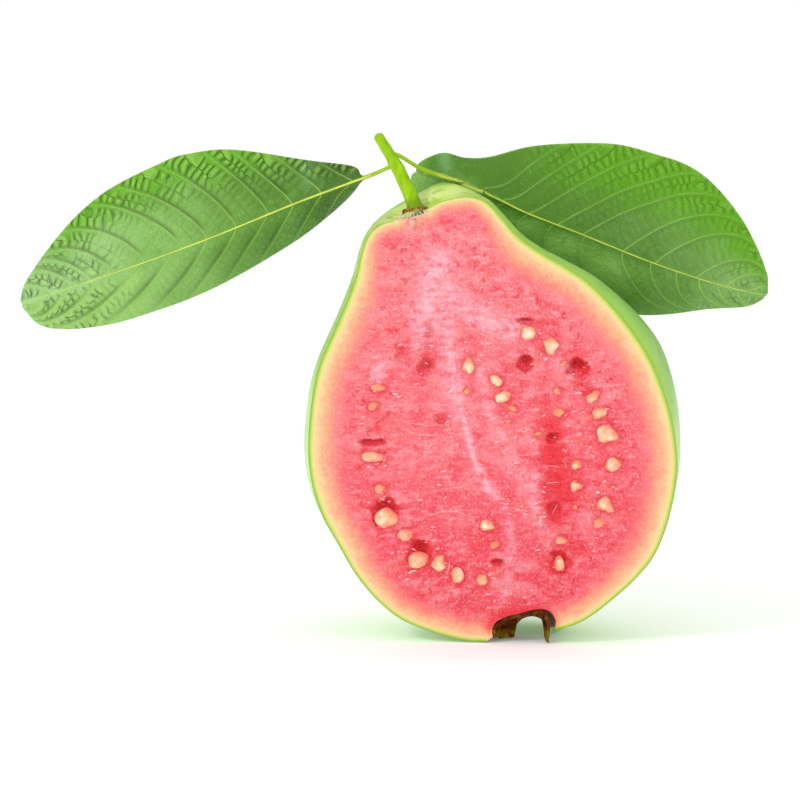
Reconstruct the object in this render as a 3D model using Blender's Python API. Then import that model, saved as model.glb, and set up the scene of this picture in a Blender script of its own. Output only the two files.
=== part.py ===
"""Half a guava, cut lengthways, with its stem, two leaves and the dry calyx at its base.

Sizes are in millimetres until a mesh is made. X runs to the right along the cut face, Z runs
up from the surface that the fruit stands on, and Y runs back from the cut face, which lies in
the plane Y = 0 until everything is moved so that the standing spot is at the origin.
"""

import math

import bmesh
import bpy
import numpy as np
from mathutils import Matrix, Vector

MM = 0.001
GAP = 0.3

# Middle of the flat spot that the fruit stands on, which becomes the origin.
SPOT_X = -2.5
SPOT_Y = 13.5

# The fruit's long axis in the cut plane, from the calyx to the stem socket, as X and Z.
AXIS_FOOT = (5.4, 5.9)
AXIS_HEAD = (-15.4, 82.9)

# Outline of the cut face from the calyx to the stem socket, as X and Z.
RIGHT_RIM = [(12.2, 2.9), (14.6, 3.3), (18.5, 5.1), (23.1, 8.7), (27.8, 13.1), (31.4, 17.9),
             (34.0, 25.0), (35.4, 33.3), (35.1, 39.5), (33.8, 45.8), (31.5, 52.3), (28.7, 57.8),
             (24.0, 64.1), (18.6, 69.7), (13.8, 73.0), (8.6, 76.0), (4.7, 78.8), (1.6, 82.2),
             (-1.4, 85.2), (-5.0, 86.2), (-9.4, 85.5), (-12.6, 83.9)]
LEFT_RIM = [(-1.2, 0.2), (-5.8, 0.5), (-12.0, 2.1), (-17.8, 4.5), (-22.4, 8.2), (-26.4, 13.0),
            (-29.7, 18.6), (-32.8, 24.2), (-34.9, 30.5), (-35.6, 37.8), (-34.9, 46.9),
            (-33.4, 53.7), (-30.8, 59.8), (-28.2, 65.8), (-26.4, 70.7), (-25.2, 75.4),
            (-23.8, 78.9), (-21.4, 80.9), (-18.9, 81.6)]
# Outline of the back, halfway round from the cut face, as distance out from the axis and
# distance along it.
BACK_RIM = [(7.6, -4.8), (9.8, -6.8), (13.5, -7.7), (19.0, -7.5), (24.2, -5.2), (29.8, 0.0),
            (36.2, 9.5), (40.6, 20.0), (42.0, 31.0), (40.3, 41.0), (35.5, 50.5), (28.5, 60.5),
            (22.0, 68.5), (18.2, 74.4), (15.2, 79.4), (11.4, 82.1), (7.4, 81.7), (4.2, 79.8)]

# Stem socket at the top and the hollow that holds the calyx, as distance out and along.
SOCKET = [(2.0, 79.3), (0.0, 79.2)]
CALYX_HOLLOW = [(0.0, 0.0), (3.1, -0.05), (5.2, -0.7), (6.1, -2.0), (6.3, -3.2)]
HOLLOW_STEPS = 6
SKIN_STEPS = 36
TURN_STEPS = 20

# How much rounder the fruit is just behind the cut than at the cut, right and left, and how
# much of that the neck loses on the right.
RIGHT_FULLNESS = 15.0
LEFT_FULLNESS = 11.5
FULLNESS_AT_OUT = 36.0
FULLNESS_START = 2.0
FULLNESS_FULL = 45.0
RIGHT_NECK_LOSS = 0.45
NECK_START = 48.0
NECK_FULL = 68.0

# One shoulder beside the stem stands higher than the other.
SHOULDER_RISE = 2.2
SHOULDER_TURN = math.radians(56)
SHOULDER_SPREAD = math.radians(30)
SHOULDER_OUT = 13.0
SHOULDER_WIDTH = 7.0

# Furrow under the base that lets light through behind the calyx.
FURROW_CENTRE = (6.6, 20.0, 0.0)
FURROW_RADII = (4.7, 26.0, 5.1)
FURROW_TURN = math.radians(4.5)

# Seeds in the cut face: X, Z, length, width, tilt in degrees and how far they stand out.
SEEDS = [(-22.1, 49.4, 3.7, 1.9, 8, 0.5), (-22.9, 45.9, 3.0, 2.1, 20, 0.4),
         (-23.1, 36.0, 4.4, 2.3, 3, 0.9), (-4.6, 53.9, 3.6, 2.9, 100, 0.9),
         (0.8, 50.9, 3.1, 2.1, -20, 0.8), (-4.8, 48.9, 2.2, 1.8, 0, 0.4),
         (2.0, 47.9, 3.1, 2.4, 25, 0.9), (3.9, 45.7, 2.2, 1.5, -25, 0.5),
         (6.7, 60.0, 4.0, 3.3, -120, 0.7), (11.1, 57.5, 4.0, 2.9, -100, 0.9),
         (19.3, 48.2, 3.8, 2.1, 35, 0.6), (20.6, 44.9, 3.3, 2.7, 20, 0.8),
         (12.9, 44.9, 3.0, 1.8, 5, 0.5), (12.6, 49.1, 2.2, 1.9, 0, 0.4),
         (22.1, 40.9, 4.4, 3.3, -10, 1.0), (23.4, 35.0, 3.8, 2.8, 10, 0.9),
         (16.3, 34.8, 2.5, 2.0, 0, 0.7), (16.2, 30.8, 2.5, 2.1, 0, 0.7),
         (22.0, 27.0, 3.9, 3.0, -40, 0.9), (20.4, 23.8, 3.0, 2.5, 100, 0.5),
         (13.4, 20.1, 2.7, 2.0, 0, 0.8), (12.8, 15.6, 3.1, 2.2, 95, 0.8),
         (-0.8, 22.9, 3.2, 2.3, -15, 0.9), (0.7, 19.1, 2.8, 2.2, -20, 0.5),
         (-21.6, 29.9, 3.4, 2.3, 15, 0.5), (-20.4, 24.0, 5.0, 3.8, -8, 1.0),
         (-16.7, 21.0, 3.7, 2.9, 20, 0.6), (-14.0, 16.0, 4.4, 3.4, 15, 0.9),
         (-10.3, 15.5, 3.8, 2.8, 65, 0.9), (-6.7, 13.2, 3.6, 2.6, 95, 0.9),
         (-2.0, 12.5, 2.9, 2.3, 100, 0.8)]
SEED_HALF_THICKNESS = 1.3
SEED_SIDES = 8
SEED_RINGS = 5

# Hollows in the pulp: X, Z, width, height and depth.
POCKETS = [(16.6, 53.5, 4.2, 3.9, 2.4), (6.4, 54.4, 3.4, 3.5, 2.0), (11.3, 40.0, 2.3, 2.0, 1.4),
           (11.8, 26.0, 2.9, 3.5, 1.6), (-20.7, 25.4, 5.8, 5.4, 1.3), (-14.2, 17.5, 5.3, 5.2, 1.3),
           (-23.2, 38.9, 5.4, 1.4, 1.4), (-12.9, 53.3, 3.3, 3.8, 1.2), (-17.5, 56.0, 3.5, 2.9, 1.0),
           (-12.2, 59.3, 2.4, 5.8, 1.0), (-9.4, 43.5, 3.4, 2.3, 0.9), (6.3, 62.5, 3.9, 1.3, 1.3),
           (0.9, 15.8, 3.0, 1.5, 1.2), (12.8, 16.0, 4.8, 4.8, 1.1)]
POCKET_SIDES = 8
POCKET_RINGS = 6

# The calyx: its roof and wall, and how low the wall reaches round its turn, in degrees and Z.
CALYX_ROOF = [(0.0, -GAP), (3.0, -0.35), (4.7, -1.1)]
CALYX_WALL_OUT = 5.1
CALYX_TIP_OUT = 4.9
CALYX_WALL_THICKNESS = 1.0
CALYX_ROOF_THICKNESS = 0.7
CALYX_EDGE = [(0, 0.4), (24, 0.4), (33, 2.0), (40, 4.0), (95, 4.0), (102, 2.0), (107, 0.4),
              (122, 0.4), (142, 1.2), (180, 3.0)]
CALYX_STEPS = 24

# Stem path and radii, from the socket up.
STEM_PATH = [(-15.2, 1.9, 84.6), (-16.6, 2.2, 87.6), (-18.3, 2.7, 91.1), (-20.2, 3.1, 94.3),
             (-22.2, 3.5, 97.4)]
STEM_RADII = [1.45, 1.3, 1.2, 1.05, 0.95]
STEM_FLARE = 1.8
STEM_SIDES = 10

PETIOLE_RADIUS = 0.38
BLADE_HALF_THICKNESS = 0.32
RIB_RISE = 0.25
BLADE_STEPS = 26
BLADE_COLUMNS = [0.0, 0.07, 0.36, 0.7, 1.0]
QUILT_WAVES = 8
QUILT_HEIGHT = 0.35

# Each leaf: the petiole from the stem, then the midrib and the two edges of the blade, as X, Y, Z.
LEFT_LEAF = {
    "petiole": [(-20.3, 3.2, 91.6), (-23.0, 5.6, 90.4), (-25.2, 8.2, 89.5)],
    "midrib": [(-25.8, 9.0, 89.3), (-38.9, 10.2, 84.4), (-56.6, 11.6, 77.2), (-75.2, 13.0, 70.4),
               (-93.8, 14.2, 64.2)],
    "upper": [(-26.2, 9.4, 89.9), (-28.1, 11.5, 91.5), (-37.0, 14.5, 92.5), (-52.1, 16.5, 94.5),
              (-61.7, 17.0, 93.5), (-67.1, 17.2, 91.5), (-76.7, 17.5, 86.7), (-83.4, 17.2, 81.3),
              (-88.9, 16.5, 74.9), (-93.3, 15.2, 68.3), (-94.2, 14.3, 64.7)],
    "lower": [(-26.0, 9.6, 89.0), (-28.4, 12.5, 86.0), (-32.7, 15.0, 82.1), (-39.5, 16.5, 76.9),
              (-51.1, 18.0, 69.9), (-60.8, 18.5, 65.2), (-70.7, 18.2, 61.7), (-77.1, 17.8, 59.9),
              (-85.2, 16.5, 59.0), (-90.6, 15.4, 59.9), (-93.7, 14.4, 63.2)],
}
RIGHT_LEAF = {
    "petiole": [(-17.9, 3.3, 93.7), (-14.3, 5.0, 91.4), (-10.5, 7.2, 89.9), (-8.2, 9.4, 89.1)],
    "midrib": [(-7.4, 10.3, 88.8), (-4.0, 13.6, 87.1), (0.8, 16.4, 84.8), (5.6, 18.0, 82.3),
               (16.4, 18.8, 78.1), (30.0, 17.5, 72.8), (42.1, 15.5, 68.9), (52.2, 13.5, 66.6)],
    "upper": [(-7.8, 10.8, 89.3), (-12.6, 13.2, 91.2), (-14.9, 14.2, 92.0), (-13.6, 15.0, 93.1),
              (-10.4, 16.5, 94.0), (-6.6, 18.2, 93.0), (-1.9, 20.0, 93.1), (5.7, 22.5, 95.0),
              (14.3, 23.5, 95.7), (23.4, 23.0, 95.5), (30.9, 22.0, 93.6), (37.1, 21.0, 91.5),
              (42.2, 19.8, 87.8), (47.1, 18.0, 82.0), (50.4, 16.2, 76.2), (52.6, 14.4, 70.5),
              (52.7, 13.6, 67.1)],
    "lower": [(-8.0, 11.4, 88.9), (-12.6, 15.5, 90.4), (-16.6, 17.8, 90.0), (-17.0, 19.6, 87.0),
              (-15.6, 21.5, 84.0), (-11.3, 24.0, 80.5), (-0.2, 27.0, 73.1), (11.3, 28.5, 66.7),
              (20.0, 27.5, 63.7), (26.9, 25.0, 62.0), (33.6, 22.0, 62.3), (41.2, 18.8, 63.6),
              (48.6, 15.0, 64.4), (51.8, 13.7, 66.0)],
}

COLOURS = {
    "guava_half": (0.90, 0.16, 0.20),
    "calyx": (0.12, 0.05, 0.02),
    "stem": (0.28, 0.55, 0.02),
    "leaf_left": (0.09, 0.30, 0.04),
    "leaf_right": (0.08, 0.26, 0.04),
}


def clear_scene():
    """Remove whatever the file opened with."""
    for item in list(bpy.data.objects):
        bpy.data.objects.remove(item, do_unlink=True)


def smooth_path(points, count):
    """Points at equal steps along a smooth curve through the given points."""
    given = np.array(points, dtype=float)
    before = 2.0 * given[0] - given[1]
    after = 2.0 * given[-1] - given[-2]
    padded = np.vstack([before, given, after])
    fine = []
    for index in range(1, len(padded) - 2):
        p0, p1, p2, p3 = padded[index - 1:index + 3]
        for step in range(12):
            u = step / 12.0
            fine.append(0.5 * (2.0 * p1 + (p2 - p0) * u
                               + (2.0 * p0 - 5.0 * p1 + 4.0 * p2 - p3) * u ** 2
                               + (3.0 * p1 - 3.0 * p2 + p3 - p0) * u ** 3))
    fine.append(given[-1])
    fine = np.array(fine)
    lengths = np.linalg.norm(np.diff(fine, axis=0), axis=1)
    walked = np.concatenate([[0.0], np.cumsum(lengths)])
    wanted = np.linspace(0.0, walked[-1], count)
    return np.stack([np.interp(wanted, walked, fine[:, k]) for k in range(given.shape[1])], axis=1)


AXIS = np.array(AXIS_HEAD) - np.array(AXIS_FOOT)
AXIS /= np.linalg.norm(AXIS)
ACROSS = np.array([AXIS[1], -AXIS[0]])


def out_and_along(point):
    """Distance of a cut-plane point out from the fruit's axis and along it."""
    offset = np.array(point) - np.array(AXIS_FOOT)
    return abs(float(offset @ ACROSS)), float(offset @ AXIS)


def in_space(out, along, turn):
    """X, Y and Z of a point at a turn round the axis, 0 at the right of the cut face."""
    sideways = out * math.cos(turn)
    x = AXIS_FOOT[0] + sideways * ACROSS[0] + along * AXIS[0]
    z = AXIS_FOOT[1] + sideways * ACROSS[1] + along * AXIS[1]
    return x, out * math.sin(turn), z


def smooth_step(value, low, high):
    """0 below low, 1 above high and a soft change between."""
    u = min(1.0, max(0.0, (value - low) / (high - low)))
    return u * u * (3.0 - 2.0 * u)


def fruit_profiles():
    """The right, left and back outlines of the fruit at matching steps."""
    profiles = []
    for rim in (RIGHT_RIM, LEFT_RIM):
        profiles.append([out_and_along(point) for point in rim])
    profiles.append(BACK_RIM)
    hollow = smooth_path(CALYX_HOLLOW, HOLLOW_STEPS)
    return [np.vstack([hollow, smooth_path(rim + SOCKET, SKIN_STEPS)]) for rim in profiles]


def fruit_point(profiles, step, turn):
    """A point of the fruit's surface."""
    right, left, back = (profile[step] for profile in profiles)
    side_share = math.cos(turn) ** 2
    side = right if math.cos(turn) > 0.0 else left
    out, along = side_share * side + (1.0 - side_share) * back
    if step >= HOLLOW_STEPS:
        fullness = RIGHT_FULLNESS if math.cos(turn) > 0.0 else LEFT_FULLNESS
        fullness *= smooth_step(along, FULLNESS_START, FULLNESS_FULL) * min(1.0, out / FULLNESS_AT_OUT)
        if math.cos(turn) > 0.0:
            fullness *= 1.0 - RIGHT_NECK_LOSS * smooth_step(along, NECK_START, NECK_FULL)
        out += fullness * math.sin(turn) * side_share
        if along > AXIS_HEAD[1] / 2.0:
            lift = math.exp(-((turn - SHOULDER_TURN) / SHOULDER_SPREAD) ** 2)
            lift *= math.exp(-((out - SHOULDER_OUT) / SHOULDER_WIDTH) ** 2)
            along += SHOULDER_RISE * lift * smooth_step(turn, 0.0, SHOULDER_TURN)
    return in_space(out, along, turn)


def ring_mesh(rows, close_first, close_last):
    """A bmesh from rows of points; a row of one point is a pole."""
    bm = bmesh.new()
    rings = [[bm.verts.new(Vector(point) * MM) for point in row] for row in rows]
    for lower, upper in zip(rings, rings[1:]):
        count = max(len(lower), len(upper))
        for k in range(count):
            k_next = (k + 1) % count
            corners = [lower[k % len(lower)], lower[k_next % len(lower)],
                       upper[k_next % len(upper)], upper[k % len(upper)]]
            unique = list(dict.fromkeys(corners))
            if len(unique) > 2:
                bm.faces.new(unique)
    if close_first:
        bm.faces.new(list(reversed(rings[0])))
    if close_last:
        bm.faces.new(rings[-1])
    bmesh.ops.recalc_face_normals(bm, faces=bm.faces)
    return bm


def new_object(name, bm):
    """An object in the scene from a bmesh, shaded smooth."""
    mesh = bpy.data.meshes.new(name)
    bm.to_mesh(mesh)
    bm.free()
    mesh.shade_smooth()
    mesh.set_sharp_from_angle(angle=math.radians(40))
    item = bpy.data.objects.new(name, mesh)
    bpy.context.scene.collection.objects.link(item)
    return item


def finish_node(item, roughness):
    """Give a node its material and move it so that the standing spot is at the origin."""
    material = bpy.data.materials.new(item.name)
    material.use_nodes = True
    shader = material.node_tree.nodes["Principled BSDF"]
    shader.inputs["Base Color"].default_value = (*COLOURS[item.name], 1.0)
    shader.inputs["Roughness"].default_value = roughness
    shader.inputs["Metallic"].default_value = 0.0
    item.data.materials.clear()
    item.data.materials.append(material)
    item.location = (-SPOT_X * MM, -SPOT_Y * MM, 0.0)


def ellipsoid(name, centre, radii, turn, tilt, sides, rings):
    """A closed egg shape, turned about Z and tilted in the plane of the cut face."""
    bm = bmesh.new()
    bmesh.ops.create_uvsphere(bm, u_segments=sides, v_segments=rings, radius=1.0)
    shape = Matrix.Diagonal((*(radius * MM for radius in radii), 1.0))
    place = Matrix.Translation(Vector(centre) * MM) @ Matrix.Rotation(turn, 4, "Z")
    bmesh.ops.transform(bm, matrix=place @ Matrix.Rotation(tilt, 4, "Y") @ shape, verts=bm.verts)
    return new_object(name, bm)


def join_with(item, tools, operation):
    """Apply one Boolean with a collection of tools, then remove the tools."""
    group = bpy.data.collections.new("tools")
    bpy.context.scene.collection.children.link(group)
    for tool in tools:
        bpy.context.scene.collection.objects.unlink(tool)
        group.objects.link(tool)
        tool.hide_render = True
        tool.display_type = "WIRE"
    modifier = item.modifiers.new("join", "BOOLEAN")
    modifier.operation = operation
    modifier.solver = "EXACT"
    modifier.operand_type = "COLLECTION"
    modifier.collection = group
    bpy.context.view_layer.update()
    evaluated = item.evaluated_get(bpy.context.evaluated_depsgraph_get())
    mesh = bpy.data.meshes.new_from_object(evaluated)
    item.modifiers.clear()
    item.data = mesh
    for tool in list(group.objects):
        bpy.data.objects.remove(tool, do_unlink=True)
    bpy.data.collections.remove(group)


def fruit_body():
    """The half fruit before its hollows are cut: skin all round the back, flat at the cut."""
    profiles = fruit_profiles()
    bm = bmesh.new()
    last = len(profiles[0]) - 1
    foot = bm.verts.new(Vector(in_space(*profiles[0][0], 0.0)) * MM)
    head = bm.verts.new(Vector(in_space(*profiles[0][last], 0.0)) * MM)
    columns = []
    for turn_step in range(TURN_STEPS + 1):
        turn = math.pi * turn_step / TURN_STEPS
        column = [foot]
        for step in range(1, last):
            x, y, z = fruit_point(profiles, step, turn)
            if turn_step in (0, TURN_STEPS):
                y = 0.0
            column.append(bm.verts.new(Vector((x, y, z)) * MM))
        column.append(head)
        columns.append(column)
    for near, far in zip(columns, columns[1:]):
        for step in range(last):
            corners = [near[step], near[step + 1], far[step + 1], far[step]]
            bm.faces.new(list(dict.fromkeys(corners)))
    bm.faces.new(columns[0] + columns[-1][-2:0:-1])
    bmesh.ops.triangulate(bm, faces=bm.faces)
    bmesh.ops.recalc_face_normals(bm, faces=bm.faces)
    return new_object("guava_half", bm)


def standing_plane():
    """A block below the surface that the fruit stands on, which cuts its flat spot."""
    bm = bmesh.new()
    bmesh.ops.create_cube(bm, size=1.0)
    shape = Matrix.Translation((0.0, 0.0, -10.0 * MM)) @ Matrix.Diagonal((0.2, 0.2, 20.0 * MM, 1.0))
    bmesh.ops.transform(bm, matrix=shape, verts=bm.verts)
    return new_object("standing_plane", bm)


def guava_half():
    """The half fruit with its pulp hollows, its flat spot and its seeds."""
    body = fruit_body()
    cutters = [standing_plane()]
    cutters.append(ellipsoid("furrow", FURROW_CENTRE, FURROW_RADII, FURROW_TURN, 0.0, 10, 10))
    for index, (x, z, width, height, depth) in enumerate(POCKETS):
        radii = (width / 2.0, depth, height / 2.0)
        cutters.append(ellipsoid(f"pocket_{index}", (x, 0.0, z), radii, 0.0, 0.0,
                                 POCKET_SIDES, POCKET_RINGS))
    join_with(body, cutters, "DIFFERENCE")
    seeds = []
    for index, (x, z, length, width, tilt, proud) in enumerate(SEEDS):
        radii = (length / 2.0, SEED_HALF_THICKNESS, width / 2.0)
        centre = (x, SEED_HALF_THICKNESS - proud, z)
        seeds.append(ellipsoid(f"seed_{index}", centre, radii, 0.0, -math.radians(tilt),
                               SEED_SIDES, SEED_RINGS))
    join_with(body, seeds, "UNION")
    finish_node(body, 0.35)


def calyx():
    """The dry flower end: a small brown cup whose wall is torn into hanging lobes."""
    degrees, heights = zip(*CALYX_EDGE)
    bm = bmesh.new()
    pole_top = bm.verts.new(Vector(in_space(*CALYX_ROOF[0], 0.0)) * MM)
    inner_top = CALYX_ROOF[0][1] - CALYX_ROOF_THICKNESS
    pole_inner = bm.verts.new(Vector(in_space(0.0, inner_top, 0.0)) * MM)
    sections = []
    roof_out, roof_along = CALYX_ROOF[-1]
    middle_x = AXIS_FOOT[0] + roof_along * AXIS[0]
    for turn_step in range(CALYX_STEPS + 1):
        turn = math.pi * turn_step / CALYX_STEPS
        roof_z = in_space(roof_out, roof_along, turn)[2]
        edge_z = min(float(np.interp(math.degrees(turn), degrees, heights)), roof_z - 0.4)
        half_z = roof_z + (edge_z - roof_z) * 0.4
        points = [in_space(out, along, turn) for out, along in CALYX_ROOF[1:]]
        hanging = [(CALYX_WALL_OUT, half_z), (CALYX_TIP_OUT, edge_z),
                   (CALYX_TIP_OUT - CALYX_WALL_THICKNESS, edge_z),
                   (CALYX_WALL_OUT - CALYX_WALL_THICKNESS, half_z)]
        for out, z in hanging:
            x = middle_x + out * math.cos(turn) * ACROSS[0]
            points.append((x, out * math.sin(turn), z))
        points.append(in_space(roof_out - CALYX_WALL_THICKNESS,
                               roof_along - CALYX_ROOF_THICKNESS * 0.6, turn))
        points.append(in_space(CALYX_ROOF[1][0] - 0.5,
                               CALYX_ROOF[1][1] - CALYX_ROOF_THICKNESS, turn))
        section = [pole_top]
        for x, y, z in points:
            if turn_step in (0, CALYX_STEPS):
                y = 0.0
            section.append(bm.verts.new(Vector((x, y, z)) * MM))
        section.append(pole_inner)
        sections.append(section)
    for near, far in zip(sections, sections[1:]):
        for step in range(len(near) - 1):
            corners = [near[step], near[step + 1], far[step + 1], far[step]]
            bm.faces.new(list(dict.fromkeys(corners)))
    bm.faces.new(sections[0])
    bm.faces.new(sections[-1])
    bmesh.ops.triangulate(bm, faces=bm.faces)
    bmesh.ops.recalc_face_normals(bm, faces=bm.faces)
    finish_node(new_object("calyx", bm), 0.8)


def ring_round(centre, direction, radius, sides):
    """Points of a circle round a centre, square to a direction."""
    direction = Vector(direction).normalized()
    first = direction.cross(Vector((0.0, 1.0, 0.0))).normalized()
    second = direction.cross(first)
    points = []
    for k in range(sides):
        angle = 2.0 * math.pi * k / sides
        offset = first * math.cos(angle) + second * math.sin(angle)
        points.append(Vector(centre) + offset * radius)
    return points


def stem():
    """The green stem, wider where it sits in the socket and rounded at its tip."""
    path_and_radius = [(*point, radius) for point, radius in zip(STEM_PATH, STEM_RADII)]
    stations = smooth_path(path_and_radius, 12)
    foot_direction = Vector((AXIS[0], 0.0, AXIS[1]))
    foot = Vector(stations[0][:3]) - foot_direction * 0.8
    rows = [ring_round(foot, foot_direction, STEM_FLARE, STEM_SIDES)]
    for index, station in enumerate(stations):
        ahead = stations[min(index + 1, len(stations) - 1)][:3]
        behind = stations[max(index - 1, 0)][:3]
        rows.append(ring_round(station[:3], ahead - behind, station[3], STEM_SIDES))
    tip = Vector(stations[-1][:3])
    tip_direction = (tip - Vector(stations[-2][:3])).normalized()
    tip_radius = stations[-1][3]
    rows.append(ring_round(tip + tip_direction * tip_radius * 0.6, tip_direction,
                           tip_radius * 0.75, STEM_SIDES))
    rows.append([tip + tip_direction * tip_radius * 0.9])
    finish_node(new_object("stem", ring_mesh(rows, True, False)), 0.5)


def leaf_grid(shape):
    """Middle points and half thicknesses of a leaf, petiole first, then the blade."""
    columns = [-v for v in reversed(BLADE_COLUMNS[1:])] + BLADE_COLUMNS
    rows = []
    halves = []
    petiole = smooth_path(shape["petiole"], 4)
    for index, point in enumerate(petiole):
        ahead = petiole[min(index + 1, len(petiole) - 1)]
        behind = petiole[max(index - 1, 0)]
        along = Vector(ahead - behind).normalized()
        across = along.cross(Vector((0.0, -1.0, 0.0))).normalized()
        if across.z < 0.0:
            across.negate()
        row = []
        half = []
        for k in range(len(columns)):
            angle = math.pi * k / (len(columns) - 1)
            row.append(point - np.array(across) * math.cos(angle) * PETIOLE_RADIUS)
            half.append(max(0.12, PETIOLE_RADIUS * math.sin(angle)))
        rows.append(row)
        halves.append(half)
    midrib = smooth_path(shape["midrib"], BLADE_STEPS)
    upper = smooth_path(shape["upper"], BLADE_STEPS)
    lower = smooth_path(shape["lower"], BLADE_STEPS)
    for index in range(BLADE_STEPS):
        row = []
        half = []
        s = index / (BLADE_STEPS - 1)
        for v in columns:
            edge = upper[index] if v > 0.0 else lower[index]
            reach = abs(v)
            point = midrib[index] + (edge - midrib[index]) * reach
            point[1] = midrib[index][1] + (edge[1] - midrib[index][1]) * reach ** 1.5
            wave = math.cos(2.0 * math.pi * QUILT_WAVES * (s - 0.06 * reach))
            room = reach * (1.0 - reach) * 4.0 * math.sin(math.pi * s)
            point[1] += QUILT_HEIGHT * wave * room
            row.append(point)
            half.append(BLADE_HALF_THICKNESS + (RIB_RISE if v == 0.0 else 0.0) * (1.0 - 0.6 * s))
        rows.append(row)
        halves.append(half)
    return np.array(rows), np.array(halves)


def leaf(name, shape):
    """A leaf with its petiole, midrib and a blade that both faces split alike."""
    grid, halves = leaf_grid(shape)
    along = np.gradient(grid, axis=0)
    across = np.gradient(grid, axis=1)
    normals = np.cross(along, across)
    normals /= np.linalg.norm(normals, axis=2, keepdims=True)
    front_points = grid + normals * halves[..., None]
    back_points = grid - normals * halves[..., None]
    bm = bmesh.new()
    front = [[bm.verts.new(Vector(point) * MM) for point in row] for row in front_points]
    back = [[bm.verts.new(Vector(point) * MM) for point in row] for row in back_points]
    last_row = len(front) - 1
    last_column = len(front[0]) - 1
    for i in range(last_row):
        for j in range(last_column):
            for side in (front, back):
                bm.faces.new((side[i][j], side[i + 1][j], side[i + 1][j + 1]))
                bm.faces.new((side[i][j], side[i + 1][j + 1], side[i][j + 1]))
    for j in (0, last_column):
        for i in range(last_row):
            bm.faces.new((front[i][j], front[i + 1][j], back[i + 1][j], back[i][j]))
    for i in (0, last_row):
        for j in range(last_column):
            bm.faces.new((front[i][j], front[i][j + 1], back[i][j + 1], back[i][j]))
    bmesh.ops.triangulate(bm, faces=[face for face in bm.faces if len(face.verts) > 3])
    bmesh.ops.recalc_face_normals(bm, faces=bm.faces)
    finish_node(new_object(name, bm), 0.45)


def main():
    clear_scene()
    guava_half()
    calyx()
    stem()
    leaf("leaf_left", LEFT_LEAF)
    leaf("leaf_right", RIGHT_LEAF)


main()
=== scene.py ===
"""Looks of the guava half: moist pulp with seeds, light green skin, veined leaves, green stem."""
import math

import bmesh
import bpy
import numpy as np
from bpy.props import FloatProperty, FloatVectorProperty, PointerProperty
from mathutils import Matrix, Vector, noise
from mathutils.geometry import delaunay_2d_cdt


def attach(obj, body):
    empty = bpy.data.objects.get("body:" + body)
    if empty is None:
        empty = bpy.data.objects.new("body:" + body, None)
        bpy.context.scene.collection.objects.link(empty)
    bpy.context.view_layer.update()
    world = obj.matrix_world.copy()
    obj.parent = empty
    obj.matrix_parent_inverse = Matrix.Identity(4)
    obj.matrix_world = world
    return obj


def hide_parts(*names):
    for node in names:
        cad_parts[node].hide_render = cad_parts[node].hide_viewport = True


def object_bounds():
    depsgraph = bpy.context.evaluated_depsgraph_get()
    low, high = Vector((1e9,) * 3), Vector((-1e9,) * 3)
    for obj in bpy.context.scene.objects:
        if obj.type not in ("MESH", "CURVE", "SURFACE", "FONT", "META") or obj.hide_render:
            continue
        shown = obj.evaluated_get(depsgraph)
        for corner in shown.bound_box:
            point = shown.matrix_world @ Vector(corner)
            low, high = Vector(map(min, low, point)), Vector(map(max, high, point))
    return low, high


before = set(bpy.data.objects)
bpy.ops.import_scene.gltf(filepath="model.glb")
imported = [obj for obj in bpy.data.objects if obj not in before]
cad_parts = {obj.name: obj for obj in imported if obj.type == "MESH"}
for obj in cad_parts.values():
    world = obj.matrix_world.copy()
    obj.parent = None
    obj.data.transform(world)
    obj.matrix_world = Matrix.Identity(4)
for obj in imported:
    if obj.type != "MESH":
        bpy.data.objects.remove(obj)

bl_info = {
    "name": "Guava half",
    "version": (1, 0, 0),
    "blender": (4, 5, 0),
    "location": "3D View > Sidebar > Guava",
    "description": "Builds the pulp, seeds, skin, calyx, stem and leaves of a cut guava",
    "category": "Object",
}

MM = 0.001
CAD_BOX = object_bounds()

# Points below are in millimetres, X right, Z up and Y back from the cut face. The part's origin is
# the middle of the flat spot, which lies here in those millimetres.
SPOT = np.array([-2.5, 13.5, 0.0])

# The camera in millimetres and degrees from the part's origin, then the floor, the light from all
# round and the lamps: name, place and size in metres and power in watts.
CAMERA_TARGET = (-15.343, -13.5, 47.096)
CAMERA_AZIMUTH = 4.5
CAMERA_ELEVATION = 6.0
CAMERA_DISTANCE = 650.0
CAMERA_LENS = 152.1
WORLD_LIGHT = 0.92
WORLD_IN_REFLECTIONS = 0.30
FLOOR_GLOW = 0.125
FLOOR_SIZE = 6.0
WHITE = (1.0, 1.0, 1.0, 1.0)
LAMP_TARGET = (0.0, 0.0, 0.045)
CLIP_START = 0.01
LIGHTS = [("key", (-0.45, -0.50, 0.55), 0.14, 1.60), ("top", (0.15, 0.25, 0.75), 0.30, 0.35)]

# The fruit: long axis in the cut plane, outlines as X and Z, back outline as out and along.
AXIS_FOOT = (5.4, 5.9)
AXIS_HEAD = (-15.4, 82.9)
RIGHT_RIM = [(12.2, 2.9), (14.6, 3.3), (18.5, 5.1), (23.1, 8.7), (27.8, 13.1), (31.4, 17.9),
             (34.0, 25.0), (35.4, 33.3), (35.1, 39.5), (33.8, 45.8), (31.5, 52.3), (28.7, 57.8),
             (24.0, 64.1), (18.6, 69.7), (13.8, 73.0), (8.6, 76.0), (4.7, 78.8), (1.6, 82.2),
             (-1.4, 85.2), (-5.0, 86.2), (-9.4, 85.5), (-12.6, 83.9)]
LEFT_RIM = [(-1.2, 0.2), (-5.8, 0.5), (-12.0, 2.1), (-17.8, 4.5), (-22.4, 8.2), (-26.4, 13.0),
            (-29.7, 18.6), (-32.8, 24.2), (-34.9, 30.5), (-35.6, 37.8), (-34.9, 46.9),
            (-33.4, 53.7), (-30.8, 59.8), (-28.2, 65.8), (-26.4, 70.7), (-25.2, 75.4),
            (-23.8, 78.9), (-21.4, 80.9), (-18.9, 81.6)]
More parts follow.
